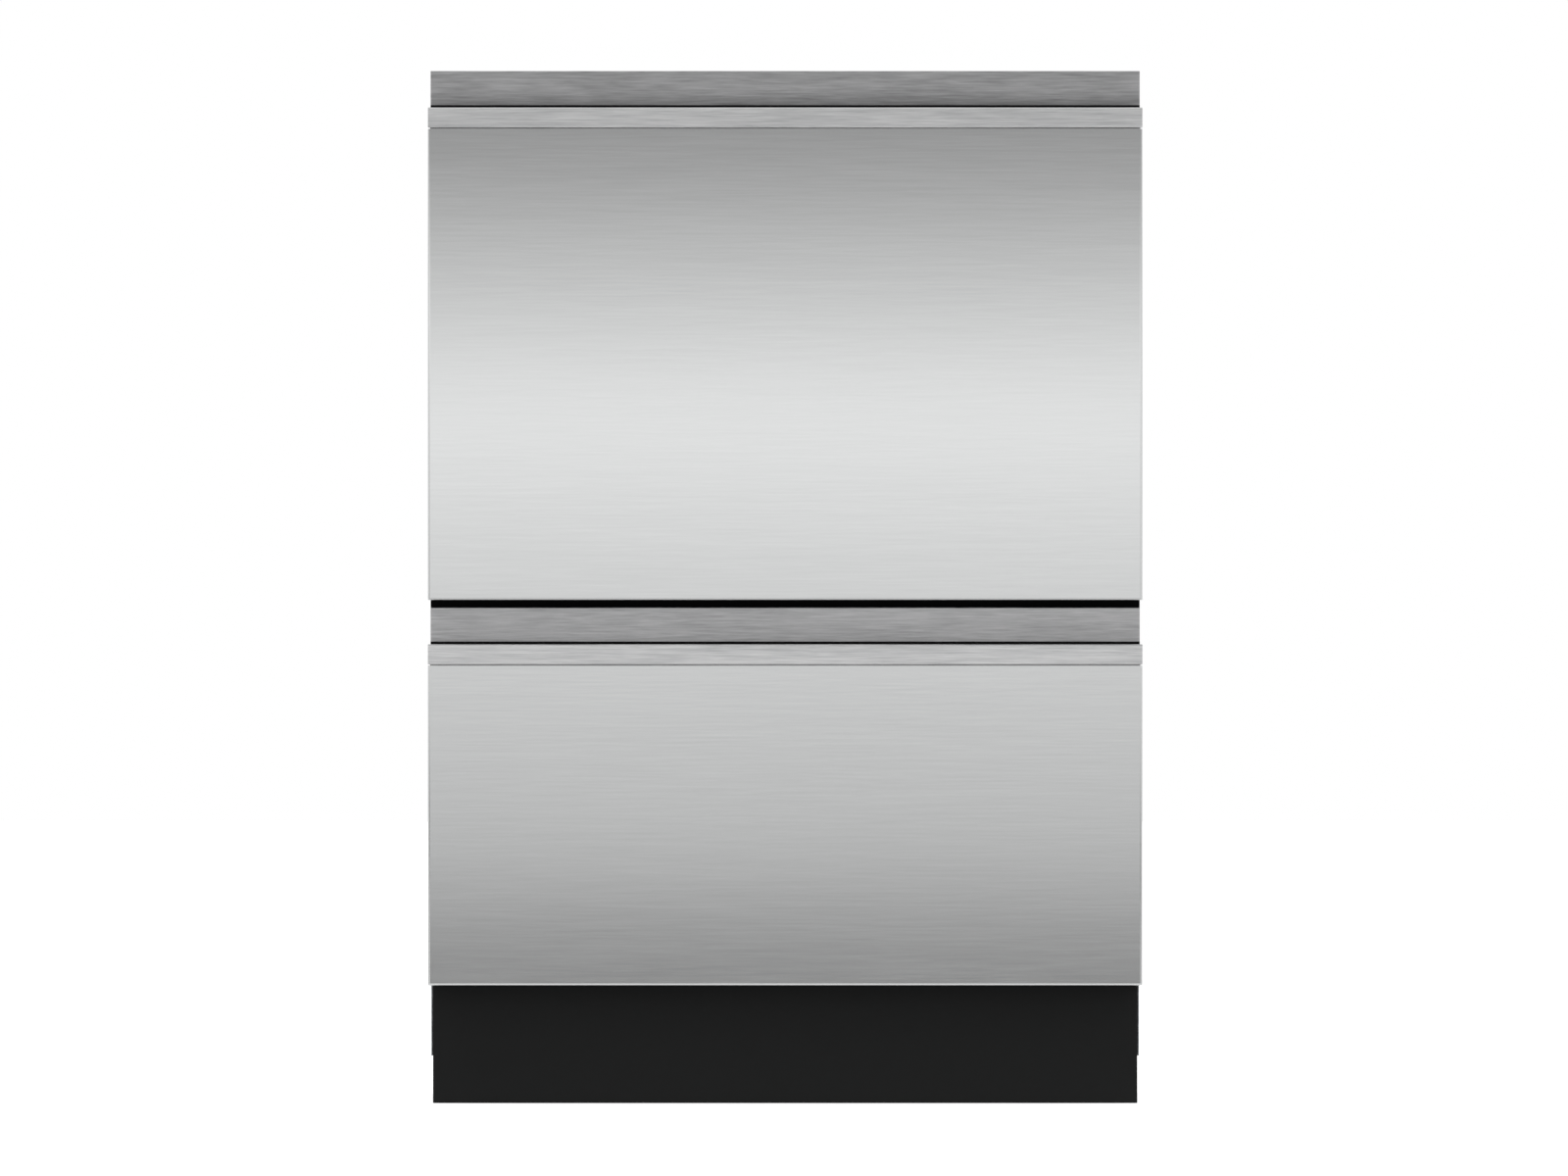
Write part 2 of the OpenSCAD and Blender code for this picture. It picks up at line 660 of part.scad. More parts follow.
module tub(d) {
    floor = floor_z(d);
    rim = rim_z(d);
    rim_w = 2 * rim_half_w;
    rim_d = rim_f1 - rim_f0;
    color([0.86, 0.87, 0.87]) from_front() difference() {
        union() {
            tub_volume(d, tub_wall, rim);
            // flange round the rim, with a skirt turned down
            translate([0, (rim_f0 + rim_f1) / 2, rim - tub_wall]) linear_extrude(tub_wall)
                rounded(rim_w, rim_d, 16);
            translate([0, (rim_f0 + rim_f1) / 2, rim - 11]) linear_extrude(9) difference() {
                rounded(rim_w, rim_d, 16);
                rounded(rim_w - 5, rim_d - 5, 13.5);
            }
            // boss of the sump
            translate([0, tub_mid_f, floor - sump_depth - tub_wall])
                cylinder(h = sump_depth + tub_wall, r = sump_boss_r);
            // stiffening ribs under the flange
            both_sides() for (i = [-2:2])
                block([tub_half_w - 4, rim_half_w - 3], about(tub_mid_f + i * tub_rib_pitch, 1.1),
                    [rim - 34, rim - 1]);
        }
        tub_volume(d, 0, rim + 1);
        // ledge for the filter plate, the sump, and the hole for the pump's neck
        translate([0, tub_mid_f, floor - 2.8]) cylinder(h = 40, r = sump_r + 7);
        translate([0, tub_mid_f, floor - sump_depth]) cylinder(h = 40, r = sump_r);
        translate([0, tub_mid_f, floor - 40]) cylinder(h = 60, r = neck_r + seat_gap);
        // window for the dispenser
        block(about(0, dispenser_w / 2 + seat_gap), [tub_f0 - 12, tub_f0 + 20],
            about(dispenser_z(d), dispenser_h / 2 + seat_gap));
    }
    // rests that the basket stands on
    color([0.86, 0.87, 0.87]) from_front() for (x = [-1, 1], y = [-1, 1])
        translate([x * (basket_half_w - column_pitch), basket_mid_f + y * (basket_half_d - 20), 0])
            translate([0, 0, floor - 0.5])
                cylinder(h = basket_rise - 1 - mesh_wire_r - 0.2 + 0.5, r1 = 9, r2 = 7);
}

module filter(d) {
    floor = floor_z(d);
    plate_r = sump_r + 7 - seat_gap;
    cup_pos = 66;
    cup_r = 24;
    color([0.55, 0.56, 0.58]) from_front() translate([0, tub_mid_f, 0]) {
        difference() {
            translate([0, 0, floor - 2.5]) cylinder(h = 2.5, r = plate_r);
            translate([0, 0, floor - 5]) cylinder(h = 10, r = neck_r + seat_gap);
            translate([cup_pos, 0, floor - 5]) cylinder(h = 10, r = cup_r + seat_gap);
            for (a = [36:12:324]) rotate([0, 0, a]) translate([68, 0, floor - 5])
                linear_extrude(10) slot_shape(44, 2.4);
        }
        // drain filter cup with its finger grip
        translate([cup_pos, 0, 0]) {
            difference() {
                translate([0, 0, floor - sump_depth + seat_gap])
                    cylinder(h = sump_depth - seat_gap + 1, r = cup_r);
                translate([0, 0, floor - sump_depth + 2]) cylinder(h = 30, r = cup_r - 2);
                for (a = [0:30:330]) rotate([0, 0, a])
                    block([cup_r - 4, cup_r + 1], [-1.5, 1.5], moved(floor, [-9, -3]));
            }
            block([-cup_r + 1, cup_r - 1], [-2, 2], moved(floor, [1 - sump_depth, 1]));
        }
    }
}

module spray_arm(d) {
    base = floor_z(d) + neck_rise + 0.2;
    // outline of one blade: half width falls and the middle line bows along its length
    n = 14;
    function half_w(t) = 23 - 9 * t;
    function bow(t) = 16 * sin(180 * t);
    function edge(side) = [for (i = [0:n]) let (t = i / n) [t * (spray_r - 14), bow(t) + side * half_w(t)]];
    function back(points) = [for (i = [len(points) - 1:-1:0]) points[i]];
    module blade() {
        polygon(concat(edge(-1), back(edge(1))));
        translate([spray_r - 14, 0]) circle(r = 14);
    }
    color([0.52, 0.54, 0.57]) from_front() translate([0, tub_mid_f, base]) difference() {
        union() {
            for (a = [0, 180]) rotate([0, 0, a]) {
                linear_extrude(spray_t) blade();
                translate([10, 0, spray_t]) linear_extrude(2) intersection() {
                    translate([-6, 4]) scale([0.97, 0.7]) blade();
                    translate([0, -40]) square([spray_r, 80]);
                }
                for (i = [0:4]) let (t = 0.28 + 0.155 * i)
                    translate([t * (spray_r - 14), bow(t), spray_t]) cylinder(h = 3.4, r = 4, $fn = 24);
            }
            cylinder(h = 18, r = 27);
        }
        translate([0, 0, -1]) cylinder(h = 16, r = spigot_r + running_gap);
        for (a = [0, 180]) rotate([0, 0, a]) for (i = [0:4]) let (t = 0.28 + 0.155 * i)
            translate([t * (spray_r - 14), bow(t), spray_t - 2]) cylinder(h = 9, r = 2, $fn = 24);
    }
}

module pump_unit(d) {
    base = pump_z(d);
    under = floor_z(d) - sump_depth - tub_wall;
    color([0.3, 0.32, 0.35]) from_front() translate([0, tub_mid_f, 0]) {
        // flat motor with cooling ribs, its cover plate, and the neck that turns the wash water up
        translate([0, 0, base]) cylinder(h = under - base - seat_gap, r = 76);
        for (a = [0:20:340]) rotate([0, 0, a]) block([74, 84], [-1.5, 1.5], [base + 3, under - 3]);
        translate([0, 0, under - 6]) cylinder(h = 6 - seat_gap, r = pump_cover_r);
        translate([0, 0, under - 2]) cylinder(h = sump_depth + tub_wall + 2 + neck_rise, r = neck_r);
        translate([0, 0, under]) cylinder(h = 36, r = spigot_r);
        // drain pump and its outlet, which ends over the hose link
        translate([126, -20, base + 19]) rotate([0, 90, 0]) cylinder(h = 60, r = 18, center = true);
        translate([118, 14, base + 28]) rotate([90, 0, 0]) cylinder(h = 30, r = 9);
        block([86, link_x + 8], [60, 76], [link_top(d), under - 1]);
        block([60, pump_cover_r], [20, 76], [under - 8, under - 1]);
        block([link_x - 8, link_x + 8], [60, link_f - tub_mid_f], [link_top(d), link_top(d) + 7]);
        translate([link_x, link_f - tub_mid_f, link_top(d)]) cylinder(h = 7, r = 14);
    }
    // heater ring on the sump's floor
    color("silver") from_front() translate([0, tub_mid_f, floor_z(d) - sump_depth + seat_gap])
        linear_extrude(2) difference() {
            circle(r = 40);
            circle(r = neck_r + 2);
        }
}

// Height just above the folded hose link, where its open pivot lies.
function link_top(d) = link_z(d) + 2 * link_t + 2 * link_gap;

// ---- Baskets ----

module basket(d) {
    z = basket_z(d);
    wall_h = basket_wall_h[d];
    // the sides stand on the floor's frame, and those at the left and right on the cross wires
    front_z0 = z + frame_wire_r + 0.1;
    side_z0 = cross_z(d) + mesh_wire_r + 0.1;
    color([0.62, 0.64, 0.66]) from_front() translate([0, basket_mid_f, 0]) {
        // floor: frame, long wires and the cross wires on them
        for (x = [-1, 1]) translate([x * basket_half_w, 0, z]) wire_y(2 * straight_d, frame_wire_r);
        for (y = [-1, 1]) translate([0, y * basket_half_d, z]) wire_x(2 * straight_w, frame_wire_r);
        corners(straight_w, straight_d) translate([0, 0, z]) bend();
        for (i = [1:mesh_columns]) translate([-basket_half_w + i * column_pitch, 0, z - 1])
            wire_y(2 * basket_half_d, mesh_wire_r);
        for (i = [1:mesh_rows]) translate([0, -basket_half_d + i * row_pitch, cross_z(d)])
            wire_x(2 * basket_half_w, mesh_wire_r);
        // four upright sides, each a flat panel of wires
        for (x = [-1, 1]) {
            translate([x * basket_half_w, 0, z + wall_h]) wire_y(2 * straight_d - 0.2, frame_wire_r);
            for (i = [1:mesh_rows]) translate([x * basket_half_w, -basket_half_d + i * row_pitch, side_z0])
                cylinder(h = z + wall_h - side_z0, r = mesh_wire_r, $fn = 32);
            translate([x * (basket_half_w + 2.4), 0, z + wall_h / 2]) wire_y(2 * straight_d, mesh_wire_r);
        }
        for (y = [-1, 1]) {
            translate([0, y * basket_half_d, z + wall_h]) wire_x(2 * straight_w - 0.2, frame_wire_r);
            for (i = [1:mesh_columns])
                translate([-basket_half_w + i * column_pitch, y * basket_half_d, front_z0])
                    cylinder(h = z + wall_h - front_z0, r = mesh_wire_r, $fn = 32);
            translate([0, y * (basket_half_d + 2.4), z + wall_h / 2]) wire_x(2 * straight_w, mesh_wire_r);
        }
        // bent corners of the top rail
        corners(straight_w, straight_d) translate([0, 0, z + wall_h]) bend();
        // clips that the folding row's rod turns in
        clip_x = (tine_count / 2 + 0.1) * tine_pitch;
        for (x = [-clip_x, clip_x]) translate([x, folding_row_f - basket_mid_f, 0])
            difference() {
                translate([-4, 0, 0]) rotate([90, 0, 90]) linear_extrude(8) clip_outline(d);
                translate([0, 0, fold_axis_z(d)]) wire_x(20, tine_r + running_gap);
            }
        // fixed plate tines
        for (f = fixed_rows_f) translate([0, f - basket_mid_f, cross_z(d) + mesh_wire_r + 0.05])
            tine_row(tine_h[d]);
    }
    // A quarter bend of frame wire, and the four corners it goes to.
    module bend() rotate_extrude(angle = 90, $fn = 32)
        translate([basket_corner_r, 0]) circle(r = frame_wire_r);
    module corners(x, y) for (i = [0, 1], j = [0, 1])
        mirror([i, 0, 0]) mirror([0, j, 0]) translate([x, y, 0]) children();
    // Outline of a clip, as depth and height.
    module clip_outline(d) {
        r = tine_r + 2.2;
        z0 = cross_z(d) + mesh_wire_r + 0.05;
        axis_z = fold_axis_z(d);
        translate([-r, z0]) square([2 * r, axis_z - z0]);
        intersection() {
            translate([0, axis_z]) circle(r = r);
            translate([-r, axis_z - 0.1]) square([2 * r, r + 1]);
        }
    }
}

// Height of the cross wires' middle over the basket's frame.
function cross_z(d) = basket_z(d) - 1 + 2 * mesh_wire_r - 0.5;

// Upright tines in a row along X.
module tine_row(h) for (i = [0:tine_count - 1]) translate([(i - (tine_count - 1) / 2) * tine_pitch, 0, 0]) {
    cylinder(h = h - tine_r, r = tine_r, $fn = 24);
    translate([0, 0, h - tine_r]) sphere(r = tine_r, $fn = 24);
}

function fold_axis_z(d) = cross_z(d) + mesh_wire_r + 0.3 + tine_r;

// A row of tines on a rod that turns, so that the row lies flat for pans.
module folding_tines(d) {
    color([0.62, 0.64, 0.66]) from_front() translate([0, folding_row_f, fold_axis_z(d)]) {
        wire_x((tine_count + 1) * tine_pitch, tine_r);
        translate([0, 0, tine_r + 0.05]) tine_row(tine_h[d] - 2 * tine_r);
    }
}

function cup_axis_z(d) = basket_z(d) + basket_wall_h[d];

// A slotted shelf for cups, clipped round the basket's side wire so that it folds up.
module right_cup_rack(d) {
    t = 3;
    bore_r = frame_wire_r + running_gap;
    length = cup_f[1] - cup_f[0];
    color([0.5, 0.52, 0.55]) from_front() translate([basket_half_w, 0, cup_axis_z(d)]) {
        difference() {
            union() {
                translate([-cup_rack_w / 2 - 8, basket_mid_f, 2]) linear_extrude(t) difference() {
                    rounded(cup_rack_w, length, 14);
                    for (i = [-5:5]) translate([0, i * 25]) slot_shape(cup_rack_w - 24, 16);
                }
                // turned-up outer edge that keeps the cups on
                block([-cup_rack_w - 8, -cup_rack_w - 5], cup_f + [16, -16], [2, 12]);
                for (y = knuckle_f) {
                    translate([0, y, 0]) wire_y(14, frame_wire_r + 3);
                    block([-12, 0], [y - 7, y + 7], [1, frame_wire_r + 3]);
                    // toe that rests on the wires below and holds the shelf level
                    block([-mesh_wire_r - 3.2, -mesh_wire_r - 0.2], [y - 7, y + row_pitch / 2 + 3],
                        [-14, 1]);
                }
            }
            for (y = knuckle_f) translate([0, y + row_pitch / 4 - 1, 0]) wire_y(row_pitch / 2 + 16, bore_r);
        }
    }
}

knuckle_f = [for (i = [-2, 0, 2]) basket_mid_f + (i - 0.5) * row_pitch];

module left_cup_rack(d) mirror([1, 0, 0]) right_cup_rack(d);

module cutlery_basket() {
    wall = 2;
    size = [250, 62, 108];
    z0 = cross_z(UPPER) + mesh_wire_r + seat_gap;
    cells = 5;
    pitch = (size[0] - wall) / cells;
    color([0.5, 0.52, 0.55]) from_front() translate([0, basket_f0 + 6, z0]) {
        difference() {
            block(about(0, size[0] / 2), [0, size[1]], [0, size[2]]);
            for (i = [0:cells - 1]) translate([-size[0] / 2 + wall + i * pitch, 0, 0])
                block([0, pitch - wall], [wall, size[1] - wall], [wall, size[2] + 1]);
            for (i = [0:cells - 1], j = [-1, 0, 1], z = [14, 62])
                block(about((i + 0.5) * pitch + 1 + j * 13 - size[0] / 2, 3), [-1, size[1] + 1],
                    [z, z + 36]);
        }
        // carrying handle
        both_sides() block(about(1.5 * pitch, 2), about(size[1] / 2, 8), [size[2] - 20, size[2] + 32]);
        translate([0, size[1] / 2, size[2] + 34]) rotate([0, 90, 0])
            linear_extrude(3 * pitch + 4, center = true) rotate(90) slot_shape(16, 8);
    }
}

// ---- Detergent dispenser ----

module dispenser(d) {
    z = dispenser_z(d);
    f = [front_back + 16, dispenser_f];
    color([0.55, 0.57, 0.6]) from_front() {
        difference() {
            union() {
                translate([0, dispenser_f, z]) rotate([90, 0, 0]) linear_extrude(7)
                    rounded(dispenser_w, dispenser_h, 6);
                block(about(0, dispenser_w / 2 - 8), [f[0], dispenser_f - 7],
                    about(z, dispenser_h / 2 - 6));
                // hinge lugs of the door
                for (x = [-1, 1]) translate([cup_x + x * (cup_w / 2 + 3), 0, 0])
                    block([-2, 2], [dispenser_f - 1, door_axis_f + 3], about(door_axis_z(d), 3));
            }
            // detergent cup
            translate([cup_x, dispenser_f + 1, z]) rotate([90, 0, 0]) linear_extrude(24)
                rounded(cup_w - 10, cup_h - 6, 9);
            translate([cup_x, door_axis_f, door_axis_z(d)]) wire_x(cup_w + 20, door_pin_r + running_gap);
        }
        // rinse aid cap with its grip
        translate([rinse_x, dispenser_f + 5, z]) rotate([90, 0, 0]) cylinder(h = 5, r = 19);
        translate([rinse_x, 0, z]) block([-14, 14], [dispenser_f + 4, dispenser_f + 10], [-2.5, 2.5]);
    }
}

// The flap over the detergent cup, which drops open into the tub.
module dispenser_door(d) {
    z = door_axis_z(d);
    color([0.42, 0.44, 0.47]) from_front() translate([cup_x, 0, 0]) {
        block(about(0, cup_w / 2), moved(door_f0, [0, door_t]), [z + 3.5, dispenser_z(d) + cup_h / 2 + 3]);
        // barrel about the pin, with the door's root above it
        translate([0, door_axis_f, z]) wire_x(cup_w - 2, door_barrel_r);
        block(about(0, cup_w / 2 - 1), about(door_axis_f, door_barrel_r - 0.1), [z, z + 6]);
        translate([0, door_axis_f, z]) wire_x(cup_w + 9, door_pin_r);
        // finger tab
        block([-12, 12], moved(door_f0, [1, door_t + 4]), moved(dispenser_z(d) + cup_h / 2, [0, 3]));
    }
}

// ---- Lid ----

module lid(d) {
    z = lid_z(d);
    w = 2 * lid_half_w;
    depth = lid_f1 - lid_f0;
    mid = (lid_f0 + lid_f1) / 2;
    wall = 2.5;
    rib_z = [z + 4, z + lid_h - 3];
    color([0.8, 0.81, 0.82]) from_front() {
        difference() {
            translate([0, mid, z]) linear_extrude(lid_h) rounded(w, depth, 14);
            translate([0, mid, z + 5]) linear_extrude(lid_h) rounded(w - 2 * wall, depth - 2 * wall, 11.5);
            seal_ring(z - 1, 1.7 + 1, 8.6);
        }
        // stiffening ribs on the upper side
        for (x = [-180, -90, 0, 90, 180]) block(about(x, 1), [lid_f0 + 1, lid_f1 - 1], rib_z);
        for (i = [-1, 0, 1]) block(about(0, lid_half_w - 1), about(mid + i * 125, 1), rib_z);
        // lifting pins
        both_sides() for (y = lid_pin_f) translate([lid_half_w - 1, y, z + lid_h / 2]) rotate([0, 90, 0])
            cylinder(h = actuator_x + 6 - lid_half_w, r = lid_pin_r);
    }
}

// A ring along the tub's rim: its bottom, height and width.
module seal_ring(z, h, w) {
    ring_w = 2 * seal_half_w;
    ring_d = seal_f1 - seal_f0;
    translate([0, (seal_f0 + seal_f1) / 2, z]) linear_extrude(h) difference() {
        rounded(ring_w + w, ring_d + w, 16 + w / 2);
        rounded(ring_w - w, ring_d - w, 16 - w / 2);
    }
}

module lid_seal(d) {
    z = lid_z(d);
    color([0.2, 0.2, 0.22]) from_front() {
        seal_ring(z - 2, 2 + 1.5, 8);
        seal_ring(z - seal_drop, seal_drop - 2, 5);
    }
}

module lid_actuators() {
    slot_h = lid_travel + 2 * lid_pin_r;
    color([0.25, 0.26, 0.28]) from_front() for (d = [LOWER, UPPER]) both_sides() for (y = lid_pin_f) {
        pin_z = lid_z(d) + lid_h / 2;
        difference() {
            block([actuator_x, wall_x], [y - 26, y + 26], [pin_z - 34, pin_z + 8]);
            // the lid's pin rides in this slot
            translate([actuator_x - 1, y, pin_z - lid_travel / 2]) rotate([0, 90, 0]) linear_extrude(9)
                slot_shape(slot_h + 2 * running_gap, 2 * (lid_pin_r + running_gap));
        }
    }
}

// ---- Hose link ----

// One arm, from its pivot at the origin to its far pivot at -X.
module link_arm(far_pin) {
    difference() {
        translate([-link_len / 2, 0, 0]) linear_extrude(link_t) slot_shape(link_len + link_w, link_w);
        translate([-link_len / 2, 0, link_t - 3]) linear_extrude(4) slot_shape(link_len - 40, link_w - 7);
        for (x = far_pin ? [0] : [0, -link_len]) translate([x, 0, -1])
            cylinder(h = link_t + 2, r = link_pin_r + running_gap);
    }
}

module hose_link_rear(d) {
    color([0.22, 0.23, 0.25]) from_front() translate([link_x, link_f, link_z(d)]) link_arm(false);
}

module hose_link_front(d) {
    color([0.28, 0.29, 0.31]) from_front() translate([link_x, link_f, link_z(d) + link_t + link_gap]) {
        link_arm(true);
        // elbow pin
        translate([-link_len, 0, -link_t - link_gap]) cylinder(h = link_t + link_gap + 1, r = link_pin_r);
    }
}

// ---- Services ----

module service_connections() {
    valve_h = service_z + inlet_r + 1 - base_z - pan_wall;
    // the bodies' flat backs reach past their spigots
    valve_corner = valve_w / 2 - inlet_r - 0.8;
    elbow_corner = elbow_w / 2 - drain_r - 0.5;
    color([0.85, 0.86, 0.88]) from_front() {
        // inlet valve, its threaded spigot and its coil
        translate([inlet_x, valve_f, base_z + pan_wall]) linear_extrude(valve_h)
            rounded(valve_w, valve_d, valve_corner);
        spigot(inlet_x, valve_f + valve_d / 2 - 1, inlet_r, 9, 10);
        translate([inlet_x - valve_w / 2 + 1, valve_f, service_z - 12]) rotate([0, -90, 0])
            cylinder(h = 26, r = 12);
        // drain elbow with its hose spigot
        translate([drain_x, elbow_f, base_z + pan_wall]) linear_extrude(valve_h)
            rounded(elbow_w, elbow_d, elbow_corner);
        spigot(drain_x, elbow_f + elbow_d / 2 - 1, drain_r, drain_r - 2, 22);
        // mains terminal box with a cable gland
        difference() {
            union() {
                block(about(gland_x, 24), [back_f - 26, back_f - 8], [base_z + pan_wall, gland_z + 18]);
                translate([gland_x, back_f - 9, gland_z]) rotate([-90, 0, 0])
                    cylinder(h = 9 + sheet_t - 0.5, r = gland_r);
            }
            translate([gland_x, back_f - 12, gland_z]) rotate([-90, 0, 0])
                cylinder(h = 20, r = gland_bore_r);
        }
        // anchors of the hose links, fixed to the back panel
        for (d = [LOWER, UPPER]) translate([link_x, 0, link_z(d)]) {
            block([-16, 16], [link_f - 12, back_f], [-4.5, -link_gap]);
            block([-16, 16], [back_f - 3, back_f], [-14, 12]);
            translate([0, link_f, -1]) cylinder(h = link_t + 1, r = link_pin_r);
        }
    }
    // A hollow hose spigot from a depth f out through the back panel.
    module spigot(x, f, r, hole_r, hole_depth) difference() {
        translate([x, f, service_z]) rotate([-90, 0, 0]) cylinder(h = total_d - 0.5 - f, r = r);
        translate([x, total_d - hole_depth, service_z]) rotate([-90, 0, 0])
            cylinder(h = hole_depth + 1, r = hole_r);
    }
}

// ---- Nodes ----

mirror([1, 0, 0]) side_panel();  // left_side_panel
side_panel();  // right_side_panel
top_panel();
back_panel();
base_pan();
front_frame();
kick_strip();
cabinet_runners();
lid_actuators();
service_connections();
foot(-1, foot_f[0]);  // front_left_foot
foot(1, foot_f[0]);  // front_right_foot
foot(-1, foot_f[1]);  // rear_left_foot
foot(1, foot_f[1]);  // rear_right_foot
for (d = [LOWER, UPPER]) {
    name = d == UPPER ? "upper_" : "lower_";
    front_panel(d);
    handle(d);
    front_housing(d);
    control_fascia(d);
    button(d, 0);
    button(d, 1);
    button(d, 2);
    tub(d);
    filter(d);
    spray_arm(d);
    pump_unit(d);
    basket(d);
    folding_tines(d);
    left_cup_rack(d);
    dispenser(d);
    dispenser_door(d);
    drawer_runners(d);
    middle_runners(d);
    lid(d);
    lid_seal(d);
    hose_link_rear(d);
    hose_link_front(d);
}
right_cup_rack(UPPER);  // upper_right_cup_rack
cutlery_basket();  // upper_cutlery_basket
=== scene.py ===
"""Finishes for a built-in dishwasher with two pull-out washing drawers.

Every length is in metres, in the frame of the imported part: +Z up, the fronts face -Y.
"""

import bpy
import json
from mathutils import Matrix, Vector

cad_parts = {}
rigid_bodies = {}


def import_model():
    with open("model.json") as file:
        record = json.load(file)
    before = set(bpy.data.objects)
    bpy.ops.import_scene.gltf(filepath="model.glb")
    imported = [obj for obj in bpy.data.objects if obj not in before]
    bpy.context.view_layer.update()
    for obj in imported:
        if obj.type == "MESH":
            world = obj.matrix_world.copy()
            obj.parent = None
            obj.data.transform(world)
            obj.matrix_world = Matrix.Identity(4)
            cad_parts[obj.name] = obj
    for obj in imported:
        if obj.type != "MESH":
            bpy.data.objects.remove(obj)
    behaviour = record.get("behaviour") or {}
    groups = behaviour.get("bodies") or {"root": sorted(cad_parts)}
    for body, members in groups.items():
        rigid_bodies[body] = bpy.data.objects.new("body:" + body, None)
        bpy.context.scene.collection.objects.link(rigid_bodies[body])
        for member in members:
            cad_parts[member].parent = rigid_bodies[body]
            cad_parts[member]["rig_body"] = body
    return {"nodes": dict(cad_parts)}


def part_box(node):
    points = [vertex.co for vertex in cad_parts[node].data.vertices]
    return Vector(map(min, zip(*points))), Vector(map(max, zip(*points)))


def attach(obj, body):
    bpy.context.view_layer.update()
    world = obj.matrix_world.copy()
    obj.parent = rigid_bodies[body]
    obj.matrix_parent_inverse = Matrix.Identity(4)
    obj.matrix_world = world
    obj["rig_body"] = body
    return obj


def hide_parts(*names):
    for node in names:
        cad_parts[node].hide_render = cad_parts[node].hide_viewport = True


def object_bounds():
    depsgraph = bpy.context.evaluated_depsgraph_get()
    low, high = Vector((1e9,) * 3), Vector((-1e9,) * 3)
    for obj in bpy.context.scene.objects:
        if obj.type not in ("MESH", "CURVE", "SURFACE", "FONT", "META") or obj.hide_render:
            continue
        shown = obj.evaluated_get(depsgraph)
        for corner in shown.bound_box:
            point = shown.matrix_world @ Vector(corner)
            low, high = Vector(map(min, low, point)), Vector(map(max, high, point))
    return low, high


bl_info = {
    "name": "Drawer dishwasher",
    "version": (1, 0, 0),
    "blender": (4, 5, 0),
    "location": "View3D > Sidebar > Dishwasher",
    "description": "Finishes and fine parts for a dishwasher with two pull-out drawers",
    "category": "Object",
}

import json
import math

import bmesh
import bpy
from mathutils import Matrix, Vector

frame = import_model()
cad_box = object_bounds()

MM = 0.001
DRAWERS = ("lower", "upper")
FRONT_Y = cad_box[0].y
BACK_Y = cad_box[1].y
SHARP = math.radians(35)  # faces that meet at a greater angle have a sharp edge between them


# ---- Shared tools ----

def linear(code):
    """The linear colour of an sRGB hex value."""
    channels = [int(code[i:i + 2], 16) / 255 for i in (0, 2, 4)]
    return [c / 12.92 if c <= 0.04045 else ((c + 0.055) / 1.055) ** 2.4 for c in channels] + [1.0]


def add(tree, kind, settings=None, links=None):
    """Adds a node with its settings, which are attributes or unlinked inputs, and its links."""
    node = tree.nodes.new(kind)
    for name, value in (settings or {}).items():
        if isinstance(name, str) and hasattr(node, name):
            setattr(node, name, value)
        else:
            node.inputs[name].default_value = value
    for name, socket in (links or {}).items():
        tree.links.new(socket, node.inputs[name])
    return node


def new_material(name, **constants):
    """A material with its shader's constant sockets set.

    Returns it, its tree, its shader and the Object coordinates.
    """
    material = bpy.data.materials.new(name)
    material.use_nodes = True
    tree = material.node_tree
    shader = tree.nodes["Principled BSDF"]
    for socket, value in constants.items():
        shader.inputs[socket.replace("_", " ")].default_value = value
    return material, tree, shader, add(tree, "ShaderNodeTexCoord").outputs["Object"]


def grain(tree, place, size, detail=2.0, roughness=0.55):
    """Noise whose grains are size metres along X, Y and Z. Returns its value."""
    turned = add(tree, "ShaderNodeMapping", {"Scale": [1 / s for s in size]}, {"Vector": place})
    noise = add(tree, "ShaderNodeTexNoise", {"Scale": 1.0, "Detail": detail, "Roughness": roughness},
                {"Vector": turned.outputs[0]})
    return noise.outputs["Fac"]


def between(tree, value, low, high, start=0.3, end=0.7):
    """The value from start to end carried to low to high."""
    return add(tree, "ShaderNodeMapRange",
               {"From Min": start, "From Max": end, "To Min": low, "To Max": high},
               {"Value": value}).outputs["Result"]


def blend(tree, first, second, share):
    """The first value times its share, plus the second times the rest."""
    rest = add(tree, "ShaderNodeMath", {"operation": "MULTIPLY", 1: 1 - share}, {0: second})
    return add(tree, "ShaderNodeMath", {"operation": "MULTIPLY_ADD", 1: share},
               {0: first, 2: rest.outputs[0]}).outputs[0]


def colour(tree, shader, value, dark, light, start=0.3, end=0.7):
    """Carries a value from start to end to the shader's colour, between two hex values."""
    mixed = add(tree, "ShaderNodeMix", {"data_type": "RGBA", 6: linear(dark), 7: linear(light)},
                {0: between(tree, value, 0.0, 1.0, start, end)})
    tree.links.new(mixed.outputs[2], shader.inputs["Base Color"])


def gloss(tree, shader, value, rough, start=0.3, end=0.7):
    """Carries a value from start to end to the shader's roughness, from rough[0] to rough[1]."""
    tree.links.new(between(tree, value, *rough, start, end), shader.inputs["Roughness"])


def ramp(tree, value, stops):
    """A grey for each value, from stops of (value, grey)."""
    node = add(tree, "ShaderNodeValToRGB", links={"Fac": value})
    node.color_ramp.interpolation = "EASE"
    elements = node.color_ramp.elements
    while len(elements) < len(stops):
        elements.new(0.5)
    for element, (position, grey) in zip(elements, stops):
        element.position, element.color = position, (grey, grey, grey, 1)
    return node.outputs["Color"]


def relief(tree, shader, height, depth, strength=1.0):
    """Bumps the shader's surface by a height of depth metres."""
    bump = add(tree, "ShaderNodeBump", {"Strength": strength, "Distance": depth}, {"Height": height})
    tree.links.new(bump.outputs["Normal"], shader.inputs["Normal"])


# ---- Materials, each from what the real one is ----

